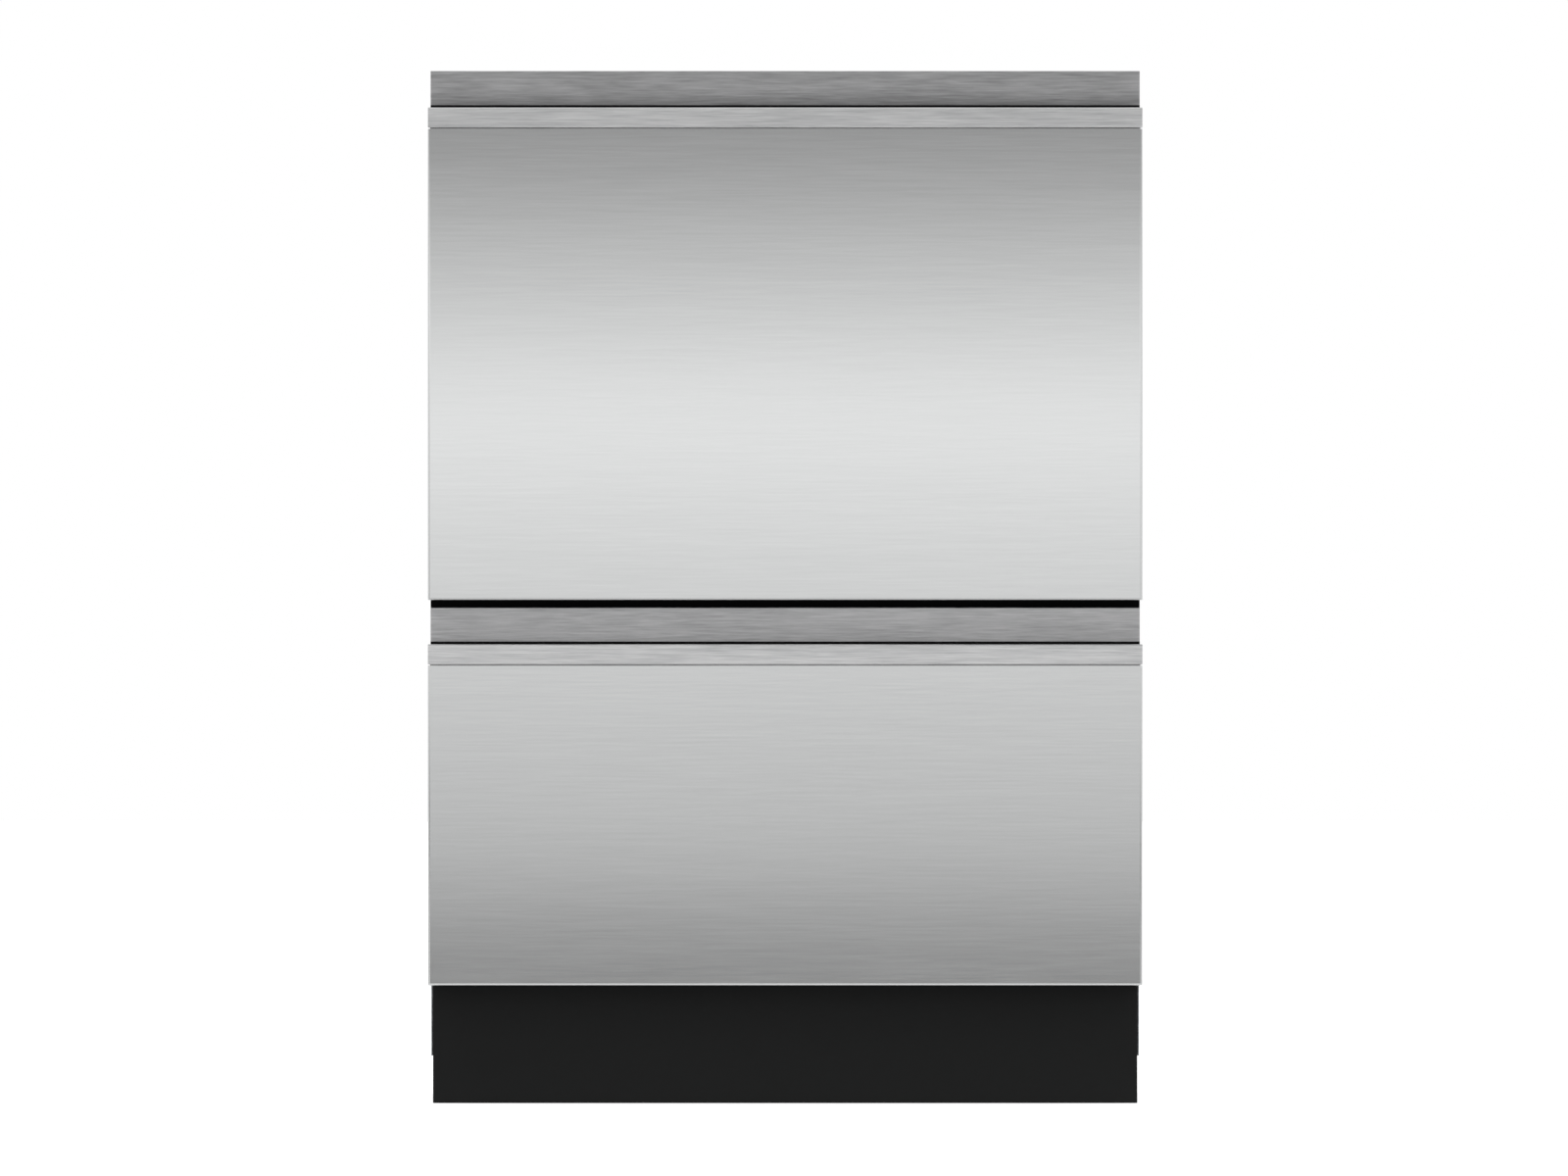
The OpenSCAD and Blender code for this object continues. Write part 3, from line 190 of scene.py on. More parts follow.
def brushed_metal(name, dark, light, rough, line, stretch, depth, anisotropic):
    """Metal brushed along the machine's width: fine lines that spread each highlight up and down."""
    material, tree, shader, place = new_material(
        name, Metallic=1.0, Anisotropic=anisotropic, Anisotropic_Rotation=0.25)
    # Real brush lines are about 0.2 mm apart. They are drawn coarser, or they wouldn't show.
    lines = grain(tree, place, (line * stretch, line, line), 3.0, 0.62)
    bands = grain(tree, place, (line * stretch * 4, line * 9, line * 9), 2.0)
    both = blend(tree, lines, bands, 0.72)
    colour(tree, shader, both, dark, light)
    gloss(tree, shader, both, rough)
    relief(tree, shader, lines, depth)
    return material


def coated_sheet(name, dark, light, rough, cell, depth, **constants):
    """Painted or plated sheet: a soft mottle and the fine orange peel of the coat."""
    material, tree, shader, place = new_material(name, **constants)
    mottle = grain(tree, place, (cell, cell, cell), 3.0)
    peel = grain(tree, place, (1.6 * MM,) * 3, 1.0)
    colour(tree, shader, mottle, dark, light)
    gloss(tree, shader, mottle, rough)
    relief(tree, shader, peel, depth, 0.5)
    return material


def galvanised(name, dark, light, rough, spangle):
    """Hot-dip galvanised steel: flat crystals of zinc, each a little lighter or duller than the next."""
    material, tree, shader, place = new_material(name, Metallic=1.0)
    wander = add(tree, "ShaderNodeTexNoise", {"Scale": 120.0, "Detail": 2.0}, {"Vector": place})
    moved = add(tree, "ShaderNodeMix", {"data_type": "VECTOR", 0: 0.012},
                {4: place, 5: wander.outputs["Color"]})
    crystals = add(tree, "ShaderNodeTexVoronoi", {"Scale": 1 / spangle}, {"Vector": moved.outputs[1]})
    shade = add(tree, "ShaderNodeSeparateColor", links={"Color": crystals.outputs["Color"]})
    cloud = grain(tree, place, (0.12, 0.12, 0.12), 3.0)
    value = blend(tree, shade.outputs[0], cloud, 0.45)
    colour(tree, shader, value, dark, light, 0.15, 0.85)
    gloss(tree, shader, value, rough, 0.15, 0.85)
    relief(tree, shader, cloud, 0.2 * MM, 0.3)
    return material


def moulded(name, dark, light, rough, texture, depth, **constants):
    """Moulded plastic: the spark-eroded texture of the tool, and a faint flow mottle."""
    material, tree, shader, place = new_material(name, **constants)
    flow = grain(tree, place, (60 * MM, 60 * MM, 22 * MM), 2.0)
    skin = grain(tree, place, (texture,) * 3, 2.0, 0.6)
    colour(tree, shader, flow, dark, light)
    gloss(tree, shader, blend(tree, skin, flow, 0.5), rough)
    relief(tree, shader, skin, depth, 0.6)
    return material


MATERIALS = {}


def make_materials(finish):
    """Fills MATERIALS once, from the finish settings."""
    if MATERIALS:
        return
    line = finish.brush_line
    MATERIALS.update(
        # stainless steel 1.4016, linished across the width: satin, with long fine lines
        skin=brushed_metal("stainless_linished", "C2C3C3", "C9CACA", (0.19, 0.23), line, 45, 0.006 * MM, 0.3),
        # extruded aluminium, brushed across and clear anodised: shorter, stronger lines
        handle=brushed_metal("aluminium_brushed_anodised", "B4B5B6", "E2E2E2", (0.46, 0.58), line * 1.3, 26,
                             0.03 * MM, 0.75),
        # the wall behind the lip has a coarser grain and a darker tone, and the tone is partly painted shade
        # from the lip; the recess between them is painted black as painted shade
        # partly painted shade: this wall is the lip's aluminium with a real coarser grain, coloured darker to
        # stand for the shade of the lip
        strip=brushed_metal("aluminium_brushed_coarse_painted_shade", "959596", "C4C4C5", (0.36, 0.46), line * 1.6, 18,
                            0.04 * MM, 0.75),
        # painted shade: the recess behind the lip is coloured near black to stand for the shade the lip casts
        # into it
        recess=coated_sheet("handle_recess_painted_shade_black", "070708", "0A0A0B", (0.55, 0.65), 40 * MM, 0.02 * MM,
                            Specular_IOR_Level=0.1),
        # steel strip, powder coated satin black: nearly no colour, a soft wide sheen
        kick=coated_sheet("steel_powder_coated_black", "090A0A", "0C0D0D", (0.42, 0.55), 35 * MM, 0.04 * MM,
                          Specular_IOR_Level=0.2),
        frame=coated_sheet("steel_e_coated_black", "050506", "080809", (0.65, 0.75), 50 * MM, 0.03 * MM,
                           Specular_IOR_Level=0.06),
        zinc=galvanised("steel_galvanised", "9CA0A3", "BFC3C5", (0.34, 0.5), 6.5 * MM),
        # drawn steel runners, zinc plated and passivated: brighter and slightly blue
        runner=brushed_metal("steel_zinc_plated", "A9B0B6", "C9CFD3", (0.26, 0.38), 0.7 * MM, 30, 0.01 * MM,
                             0.2),
        tub=moulded("polypropylene_tub_grey", "C4C8C8", "CFD2D1", (0.3, 0.44), 0.9 * MM, 0.03 * MM),
        lid=moulded("polypropylene_lid_grey", "B4B8B9", "BFC3C4", (0.38, 0.5), 0.8 * MM, 0.04 * MM),
        wash=moulded("polypropylene_wash_grey", "7A8084", "868C90", (0.32, 0.46), 0.7 * MM, 0.04 * MM),
        door=moulded("acetal_door_grey", "5E6468", "686E72", (0.3, 0.42), 0.7 * MM, 0.03 * MM),
        wire=moulded("steel_wire_polyamide_coated", "8B9297", "9AA1A5", (0.28, 0.4), 2.2 * MM, 0.05 * MM,
                     Coat_Weight=0.15, Coat_Roughness=0.3),
        black=moulded("polypropylene_talc_black", "191A1C", "212224", (0.42, 0.58), 0.9 * MM, 0.06 * MM),
        housing=moulded("abs_housing_charcoal", "26282A", "2E3032", (0.4, 0.55), 0.9 * MM, 0.05 * MM),
        fascia=moulded("abs_gloss_black", "08090A", "0C0D0E", (0.1, 0.17), 6.0 * MM, 0.015 * MM,
                       Coat_Weight=0.4, Coat_Roughness=0.05),
        button=moulded("abs_satin_silver", "B2B5B7", "BFC2C4", (0.26, 0.36), 0.6 * MM, 0.02 * MM,
                       Metallic=0.6),
        print=moulded("pad_print_white", "DADCDC", "E6E8E8", (0.4, 0.5), 0.5 * MM, 0.01 * MM),
        window=moulded("acrylic_smoked", "0B1012", "10181B", (0.04, 0.09), 20 * MM, 0.01 * MM),
        seal=moulded("rubber_epdm", "151515", "1E1E1D", (0.6, 0.78), 0.8 * MM, 0.06 * MM),
        valve=moulded("polyamide_natural", "C9C5B8", "D6D2C6", (0.4, 0.52), 0.8 * MM, 0.05 * MM),
        board=moulded("glass_epoxy_green", "1F4A2E", "275A38", (0.3, 0.42), 1.2 * MM, 0.04 * MM),
        motor=coated_sheet("steel_phosphated", "3B3E41", "4A4D50", (0.4, 0.56), 18 * MM, 0.05 * MM,
                           Metallic=0.7),
        screw=coated_sheet("screw_zinc_plated", "A7ABAE", "C2C6C8", (0.22, 0.34), 5 * MM, 0.01 * MM,
                           Metallic=1.0),
    )


# ---- Making pieces ----

def seat(name, mesh, materials, body):
    """A piece from a mesh that is already in place, riding on a body."""
    piece = bpy.data.objects.new(name, mesh)
    bpy.context.scene.collection.objects.link(piece)
    indices = [0] * len(mesh.polygons)
    if len(materials) > 1:
        mesh.polygons.foreach_get("material_index", indices)
    mesh.materials.clear()
    for material in materials:
        mesh.materials.append(MATERIALS[material])
    # clearing the materials has set every face back to the first one
    mesh.polygons.foreach_set("material_index", indices)
    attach(piece, body)
    return piece


def evaluated_copy(source):
    """The plain mesh that an object's modifiers make."""
    bpy.context.view_layer.update()
    graph = bpy.context.evaluated_depsgraph_get()
    return bpy.data.meshes.new_from_object(source.evaluated_get(graph), depsgraph=graph)


def smooth(mesh, angle=SHARP):
    """Shades a mesh smooth between its sharp edges."""
    mesh.shade_smooth()
    mesh.set_sharp_from_angle(angle=angle)


def soften(mesh, width):
    """The mesh with its sharp edges broken by a small round, and the shading of its flat faces kept."""
    smooth(mesh)
    if not width:
        return mesh
    work = bpy.data.objects.new("work", mesh)
    bpy.context.scene.collection.objects.link(work)
    bevel = work.modifiers.new("edges", "BEVEL")
    bevel.width, bevel.segments, bevel.limit_method, bevel.angle_limit = width, 2, "ANGLE", SHARP
    bevel.use_clamp_overlap, bevel.loop_slide, bevel.miter_outer = False, False, "MITER_ARC"
    weighted = work.modifiers.new("shading", "WEIGHTED_NORMAL")
    weighted.mode, weighted.weight, weighted.keep_sharp = "FACE_AREA", 50, False
    made = evaluated_copy(work)
    bpy.data.objects.remove(work)
    return made


def finish_node(node, materials, width=0.0, rules=(), cuts=()):
    """A finished copy of a CAD node in its place, its faces split at the heights in cuts. A rule is a
    material's index and a test: the faces whose middle passes the test get that material."""
    mesh = frame["nodes"][node].data.copy()
    shape = bmesh.new()
    shape.from_mesh(mesh)
    bmesh.ops.remove_doubles(shape, verts=shape.verts, dist=0.002 * MM)
    bmesh.ops.dissolve_limit(shape, angle_limit=math.radians(0.4), use_dissolve_boundaries=False,
                             verts=shape.verts, edges=shape.edges, delimit={"NORMAL"})
    for z in cuts:
        bmesh.ops.bisect_plane(shape, geom=shape.verts[:] + shape.edges[:] + shape.faces[:],
                               plane_co=(0, 0, z), plane_no=(0, 0, 1))
    for face in shape.faces:
        face.material_index = 0
        middle = face.calc_center_median()
        for index, test in rules:
            if test(middle):
                face.material_index = index
    # a bevel can fold a face over that bends around an opening
    bmesh.ops.triangulate(shape, faces=[face for face in shape.faces if len(face.verts) > 4])
    shape.to_mesh(mesh)
    shape.free()
    if "custom_normal" in mesh.attributes:
        mesh.attributes.remove(mesh.attributes["custom_normal"])
    mesh = soften(mesh, width)
    mesh.name = "finished_" + node
    piece = seat("finished_" + node, mesh, materials, frame["nodes"][node]["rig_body"])
    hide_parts(node)
    return piece


def lathe(profile, turns=24):
    """A closed mesh from a profile of (radius, height), turned about Z. A radius of 0 is a point."""
    shape = bmesh.new()
    rings = []
    for radius, height in profile:
        if radius == 0:
            rings.append([shape.verts.new((0, 0, height))])
        else:
            rings.append([shape.verts.new((radius * math.cos(a), radius * math.sin(a), height))
                          for a in (2 * math.pi * k / turns for k in range(turns))])
    for low, high in zip(rings, rings[1:]):
        for k in range(turns):
            n = (k + 1) % turns
            corners = [low[k % len(low)], low[n % len(low)], high[n % len(high)], high[k % len(high)]]
            corners = [v for i, v in enumerate(corners) if v not in corners[:i]]
            if len(corners) > 2:
                shape.faces.new(corners)
    bmesh.ops.recalc_face_normals(shape, faces=shape.faces)
    mesh = bpy.data.meshes.new("lathe")
    shape.to_mesh(mesh)
    shape.free()
    return mesh


def node_tree(name, inputs):
    """An empty Geometry Nodes tree with named inputs. Returns it and the nodes of its inputs and outputs."""
    tree = bpy.data.node_groups.new(name, "GeometryNodeTree")
    tree.interface.new_socket("Geometry", in_out="INPUT", socket_type="NodeSocketGeometry")
    for label, kind in inputs:
        tree.interface.new_socket(label, in_out="INPUT", socket_type="NodeSocket" + kind)
    tree.interface.new_socket("Geometry", in_out="OUTPUT", socket_type="NodeSocketGeometry")
    return tree, add(tree, "NodeGroupInput"), add(tree, "NodeGroupOutput")


def ended(tree, geometry, group_in, group_out):
    """Ends a tree: instances made real, then their material."""
    real = add(tree, "GeometryNodeRealizeInstances", links={"Geometry": geometry})
    finished = add(tree, "GeometryNodeSetMaterial",
                   links={"Geometry": real.outputs[0], "Material": group_in.outputs["Material"]})
    tree.links.new(finished.outputs[0], group_out.inputs[0])
    return tree


def wire_tree():
    """Round wires along bent paths, with domed tips."""
    tree, group_in, group_out = node_tree("bent_wires", [
        ("Wire radius", "Float"), ("Bend radius", "Float"), ("Sides", "Int"), ("Material", "Material")])
    paths = add(tree, "GeometryNodeMeshToCurve", links={"Mesh": group_in.outputs["Geometry"]})
    bent = add(tree, "GeometryNodeFilletCurve", {"mode": "POLY", "Count": 5, "Limit Radius": True},
               {"Curve": paths.outputs[0], "Radius": group_in.outputs["Bend radius"]})
    section = add(tree, "GeometryNodeCurvePrimitiveCircle",
                  links={"Resolution": group_in.outputs["Sides"], "Radius": group_in.outputs["Wire radius"]})
    wire = add(tree, "GeometryNodeCurveToMesh", {"Fill Caps": True},
               {"Curve": bent.outputs[0], "Profile Curve": section.outputs[0]})
    ball = add(tree, "GeometryNodeMeshIcoSphere", {"Subdivisions": 3},
               {"Radius": group_in.outputs["Wire radius"]})
    ends = add(tree, "GeometryNodeCurveEndpointSelection")
    tips = add(tree, "GeometryNodeInstanceOnPoints",
               links={"Points": paths.outputs[0], "Selection": ends.outputs[0], "Instance": ball.outputs[0]})
    both = add(tree, "GeometryNodeJoinGeometry", links={"Geometry": wire.outputs[0]})
    tree.links.new(tips.outputs[0], both.inputs[0])
    shaded = add(tree, "GeometryNodeSetShadeSmooth", links={"Geometry": both.outputs[0]})
    return ended(tree, shaded.outputs[0], group_in, group_out)


def scatter_tree():
    """One small part at each point, its own +Z turned along the point's normal."""
    tree, group_in, group_out = node_tree("parts_at_points", [("Part", "Object"), ("Material", "Material")])
    part = add(tree, "GeometryNodeObjectInfo", links={"Object": group_in.outputs["Part"]})
    normal = add(tree, "GeometryNodeInputNamedAttribute", {"data_type": "FLOAT_VECTOR", "Name": "facing"})
    turned = add(tree, "FunctionNodeAlignRotationToVector", {"axis": "Z"},
                 {"Vector": normal.outputs["Attribute"]})
    copies = add(tree, "GeometryNodeInstanceOnPoints",
                 links={"Points": group_in.outputs["Geometry"], "Instance": part.outputs["Geometry"],
                        "Rotation": turned.outputs[0]})
    return ended(tree, copies.outputs[0], group_in, group_out)


def grown(tree, mesh, inputs):
    """The plain mesh that a Geometry Nodes tree makes of a mesh."""
    work = bpy.data.objects.new("work", mesh)
    bpy.context.scene.collection.objects.link(work)
    modifier = work.modifiers.new("shape", "NODES")
    modifier.node_group = tree
    for item in tree.interface.items_tree:
        if item.in_out == "INPUT" and item.name in inputs:
            modifier[item.identifier] = inputs[item.name]
    made = evaluated_copy(work)
    work.modifiers.remove(modifier)
    bpy.data.objects.remove(work)
    return made


def wires(groups, material, sides=12):
    """A mesh of wires from groups of (paths, wire radius, bend radius). A path is a list of points, and
    one whose last point is its first is closed."""
    tree = bpy.data.node_groups.get("bent_wires") or wire_tree()
    whole = bmesh.new()
    for paths, radius, bend in groups:
        points, edges = [], []
        for path in paths:
            closed = path[0] == path[-1]
            start, count = len(points), len(path) - closed
            points += path[:count]
            edges += [(start + i, start + i + 1) for i in range(count - 1)]
            if closed:
                edges.append((start + count - 1, start))
        mesh = bpy.data.meshes.new("paths")
        mesh.from_pydata(points, edges, [])
        made = grown(tree, mesh, {"Wire radius": radius, "Bend radius": bend, "Sides": sides,
                                  "Material": MATERIALS[material]})
        whole.from_mesh(made)
    mesh = bpy.data.meshes.new("wires")
    whole.to_mesh(mesh)
    whole.free()
    return mesh


def at_points(part_mesh, places, material):
    """A mesh of one small part copied to places, each a point and the way it faces."""
    tree = bpy.data.node_groups.get("parts_at_points") or scatter_tree()
    mesh = bpy.data.meshes.new("places")
    mesh.from_pydata([p for p, _ in places], [], [])
    facing = mesh.attributes.new("facing", "FLOAT_VECTOR", "POINT")
    facing.data.foreach_set("vector", [c for _, n in places for c in n])
    part = bpy.data.objects.new("part", part_mesh)
    bpy.context.scene.collection.objects.link(part)
    made = grown(tree, mesh, {"Part": part, "Material": MATERIALS[material]})
    bpy.data.objects.remove(part)
    return made


def joined(meshes):
    """Several meshes as one."""
    whole = bmesh.new()
    for mesh in meshes:
        whole.from_mesh(mesh)
    made = bpy.data.meshes.new("joined")
    whole.to_mesh(made)
    whole.free()
    return made


def plate(outlines, low, high, round_edge=0.0):
    """A flat piece from outlines in X and Y: the first is its rim and the others are holes."""
    curve = bpy.data.curves.new("plate", "CURVE")
    curve.dimensions, curve.fill_mode = "2D", "BOTH"
    curve.extrude = (high - low) / 2 - round_edge
    curve.bevel_depth, curve.bevel_resolution, curve.offset = round_edge, 1, -round_edge
    for outline in outlines:
        spline = curve.splines.new("POLY")
        spline.points.add(len(outline) - 1)
        for point, (x, y) in zip(spline.points, outline):
            point.co = (x, y, 0, 1)
        spline.use_cyclic_u = True
    work = bpy.data.objects.new("work", curve)
    bpy.context.scene.collection.objects.link(work)
    mesh = evaluated_copy(work)
    bpy.data.objects.remove(work)
    mesh.transform(Matrix.Translation((0, 0, (low + high) / 2)))
    return mesh


def ring(radius, count=32, start=0.0, sweep=2 * math.pi, middle=(0, 0)):
    """Points on an arc."""
    steps = count if abs(sweep - 2 * math.pi) < 1e-6 else count - 1
    return [(middle[0] + radius * math.cos(start + sweep * k / steps),
             middle[1] + radius * math.sin(start + sweep * k / steps)) for k in range(count)]


# ---- Settings ----

class StageSettings(bpy.types.PropertyGroup):
    """Camera, floor and light."""

    camera_distance: bpy.props.FloatProperty(
        name="Camera distance", description="From the drawer fronts to the camera", default=25.0,
        unit="LENGTH")
    view_width: bpy.props.FloatProperty(
        name="View width", description="Width of the view at the drawer fronts", default=1.3143,
        unit="LENGTH")
    view_middle: bpy.props.FloatProperty(
        name="View middle", description="Height of the view's middle over the floor", default=0.4332,
        unit="LENGTH")
    card_distance: bpy.props.FloatProperty(
        name="Card distance", description="From the drawer fronts to the light card they reflect",
        default=0.62, unit="LENGTH")
    floor_color: bpy.props.FloatVectorProperty(
        name="Floor colour", description="Colour of the plain floor", default=linear("E9E9E9")[:3],
        subtype="COLOR", min=0, max=1)
    lamp_power: bpy.props.FloatProperty(
        name="Lamp power", description="Power of the main soft lamp", default=26.0, unit="POWER")


class FinishSettings(bpy.types.PropertyGroup):
    """Sizes of the finishes."""

    brush_line: bpy.props.FloatProperty(
        name="Brush line", description="Width of a brush line as drawn", default=1.1 * MM, unit="LENGTH")
    skin_edge: bpy.props.FloatProperty(
        name="Sheet edge", description="Round on the edges of sheet metal", default=0.35 * MM, unit="LENGTH")
    plastic_edge: bpy.props.FloatProperty(
        name="Moulded edge", description="Round on the edges of moulded parts", default=0.5 * MM,
        unit="LENGTH")
    screw_size: bpy.props.FloatProperty(
        name="Screw size", description="Radius of a screw's head", default=4.0 * MM, unit="LENGTH")


class BasketSettings(bpy.types.PropertyGroup):
    """Sizes of the wire baskets, as the source has them."""

    half_width: bpy.props.FloatProperty(
        name="Half width", description="From the middle to the side's frame wire", default=236 * MM,
        unit="LENGTH")
    depth_front: bpy.props.FloatProperty(
        name="Front", description="Where the front wire lies, behind the fronts' face", default=100 * MM,
        unit="LENGTH")
    depth_back: bpy.props.FloatProperty(
        name="Back", description="Where the rear wire lies, behind the fronts' face", default=500 * MM,
        unit="LENGTH")
    frame_wire: bpy.props.FloatProperty(
        name="Frame wire", description="Radius of the frame wires", default=2.5 * MM, unit="LENGTH")
    mesh_wire: bpy.props.FloatProperty(
        name="Mesh wire", description="Radius of the thin wires", default=1.6 * MM, unit="LENGTH")
    tine_wire: bpy.props.FloatProperty(
        name="Tine wire", description="Radius of the plate tines", default=2.0 * MM, unit="LENGTH")
    tine_pitch: bpy.props.FloatProperty(
        name="Tine pitch", description="Spacing of the plate tines", default=28 * MM, unit="LENGTH")
    corner: bpy.props.FloatProperty(
        name="Corner", description="Radius of the frame's corners", default=24 * MM, unit="LENGTH")


# ---- Pieces ----

class DISHWASHER_OT_fronts(bpy.types.Operator):
    """Folded steel skins and brushed handles of both drawers"""
    bl_idname = "dishwasher.fronts"
    bl_label = "Drawer fronts"

    def execute(self, context):
        edge = context.scene.dishwasher_finish.skin_edge
        for drawer in DRAWERS:
            finish_node(drawer + "_front_panel", ["skin"], edge)
            self.handle(drawer, edge)
        return {"FINISHED"}

    def handle(self, drawer, edge):
        """The lip; the wall behind it, a darker copy of the lip's aluminium that is partly painted shade; and
        the recess between, painted black as painted shade, whose upper edge shows as a dark line.
        """
        # painted shade: below this height the recess is coloured black to stand for shade
        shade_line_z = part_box(drawer + "_handle")[1].z - 28.7 * MM
        lip_back = FRONT_Y + 3.9 * MM

        # partly painted shade: the wall's faces get the darker copy of the lip's aluminium
        def is_painted_shade_wall(p):
            return p.z > shade_line_z

        # painted shade: the recess faces below the cut get the black that stands for shade
        def is_painted_shade_recess(p):
            return p.z < shade_line_z and p.y > lip_back

        finish_node(drawer + "_handle", ["handle", "strip", "recess"], edge, [(1, is_painted_shade_wall), (2, is_painted_shade_recess)],
                    cuts=[shade_line_z])


class DISHWASHER_OT_kick_and_frame(bpy.types.Operator):
    """Toe kick, front frame and the rubber stops that the drawers close on"""
    bl_idname = "dishwasher.kick_and_frame"
    bl_label = "Toe kick and front frame"

    def execute(self, context):
        edge = context.scene.dishwasher_finish.skin_edge
        finish_node("kick_strip", ["kick"], edge)
        finish_node("front_frame", ["frame"], edge)
        low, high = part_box("front_frame")
        stop = lathe([(0, 0), (4.4 * MM, 0), (4.4 * MM, 0.5 * MM), (3.6 * MM, 0.9 * MM), (0, 1.0 * MM)])
        stop.shade_smooth()
        x, inset = high.x - 6 * MM, 30 * MM
        heights = [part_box(d + "_front_panel")[0].z + inset for d in DRAWERS]
        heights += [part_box(d + "_front_panel")[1].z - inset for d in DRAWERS]
        places = [((s * x, low.y, z), (0, -1, 0)) for s in (-1, 1) for z in heights]
        seat("rubber_stops", at_points(stop, places, "seal"), ["seal"], "cabinet")
        return {"FINISHED"}


class DISHWASHER_OT_cabinet(bpy.types.Operator):
    """Galvanised walls of the cabinet, the tray under them and their screws"""
    bl_idname = "dishwasher.cabinet"
    bl_label = "Cabinet"

    def execute(self, context):
        finish = context.scene.dishwasher_finish
        for node in ("left_side_panel", "right_side_panel", "top_panel", "back_panel"):
            finish_node(node, ["zinc"], finish.skin_edge)
        finish_node("base_pan", ["black"], finish.plastic_edge)
        finish_node("lid_actuators", ["black"], finish.plastic_edge)
        self.screws(finish.screw_size)
        return {"FINISHED"}

    def screws(self, radius):
        """Pan-head screws along the rear edges of the cabinet's walls."""
        dome = [(0, 0), (radius, 0), (radius, 0.7 * MM), (radius * 0.93, 1.25 * MM),
                (radius * 0.72, 1.7 * MM), (radius * 0.4, 1.85 * MM), (radius * 0.3, 1.85 * MM),
                (radius * 0.22, 0.9 * MM), (0, 0.7 * MM)]
        head = lathe(dome)
        smooth(head, math.radians(40))
        low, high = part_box("right_side_panel")
        side_x, back_y, inset = high.x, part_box("back_panel")[1].y, 9 * MM
        rows = [low.z + 40 * MM + k * (high.z - low.z - 60 * MM) / 5 for k in range(6)]
        places = []
        for s in (-1, 1):
            places += [((s * side_x, back_y - inset, z), (s, 0, 0)) for z in rows]
            places += [((s * (side_x - 8 * MM), back_y, z), (0, 1, 0)) for z in rows[1:]]
        places += [((x * MM, back_y, high.z - inset), (0, 1, 0)) for x in range(-220, 221, 110)]
        seat("cabinet_screws", at_points(head, places, "screw"), ["screw"], "cabinet")


class DISHWASHER_OT_feet(bpy.types.Operator):
    """Screwed feet: black pads and hexagons on plated screws"""
    bl_idname = "dishwasher.feet"
    bl_label = "Feet"

    def execute(self, context):
        for place in ("front_left", "front_right", "rear_left", "rear_right"):
            low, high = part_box(place + "_foot")
            middle = (low + high) / 2

            def is_screw(p):
                return math.hypot(p.x - middle.x, p.y - middle.y) < 5.2 * MM and p.z > 20 * MM

            finish_node(place + "_foot", ["black", "screw"], 0.4 * MM, [(1, is_screw)])
        return {"FINISHED"}


class DISHWASHER_OT_services(bpy.types.Operator):
    """Water and mains connections behind the cabinet"""
    bl_idname = "dishwasher.services"
    bl_label = "Services"

    def execute(self, context):
        def is_mains_box(p):
            return p.x > 200 * MM and p.z < 100 * MM

        def is_link_anchor(p):
            return 180 * MM < p.x < 220 * MM and p.z > 101 * MM

        def is_drain_spigot(p):
            return -152 * MM < p.x < -128 * MM and p.y > BACK_Y - 24 * MM

        finish_node("service_connections", ["valve", "black", "zinc"], 0.4 * MM,
                    [(1, is_mains_box), (2, is_link_anchor), (1, is_drain_spigot)])
        for drawer in DRAWERS:
            for arm in ("_hose_link_rear", "_hose_link_front"):
                finish_node(drawer + arm, ["black"], 0.5 * MM)
        return {"FINISHED"}


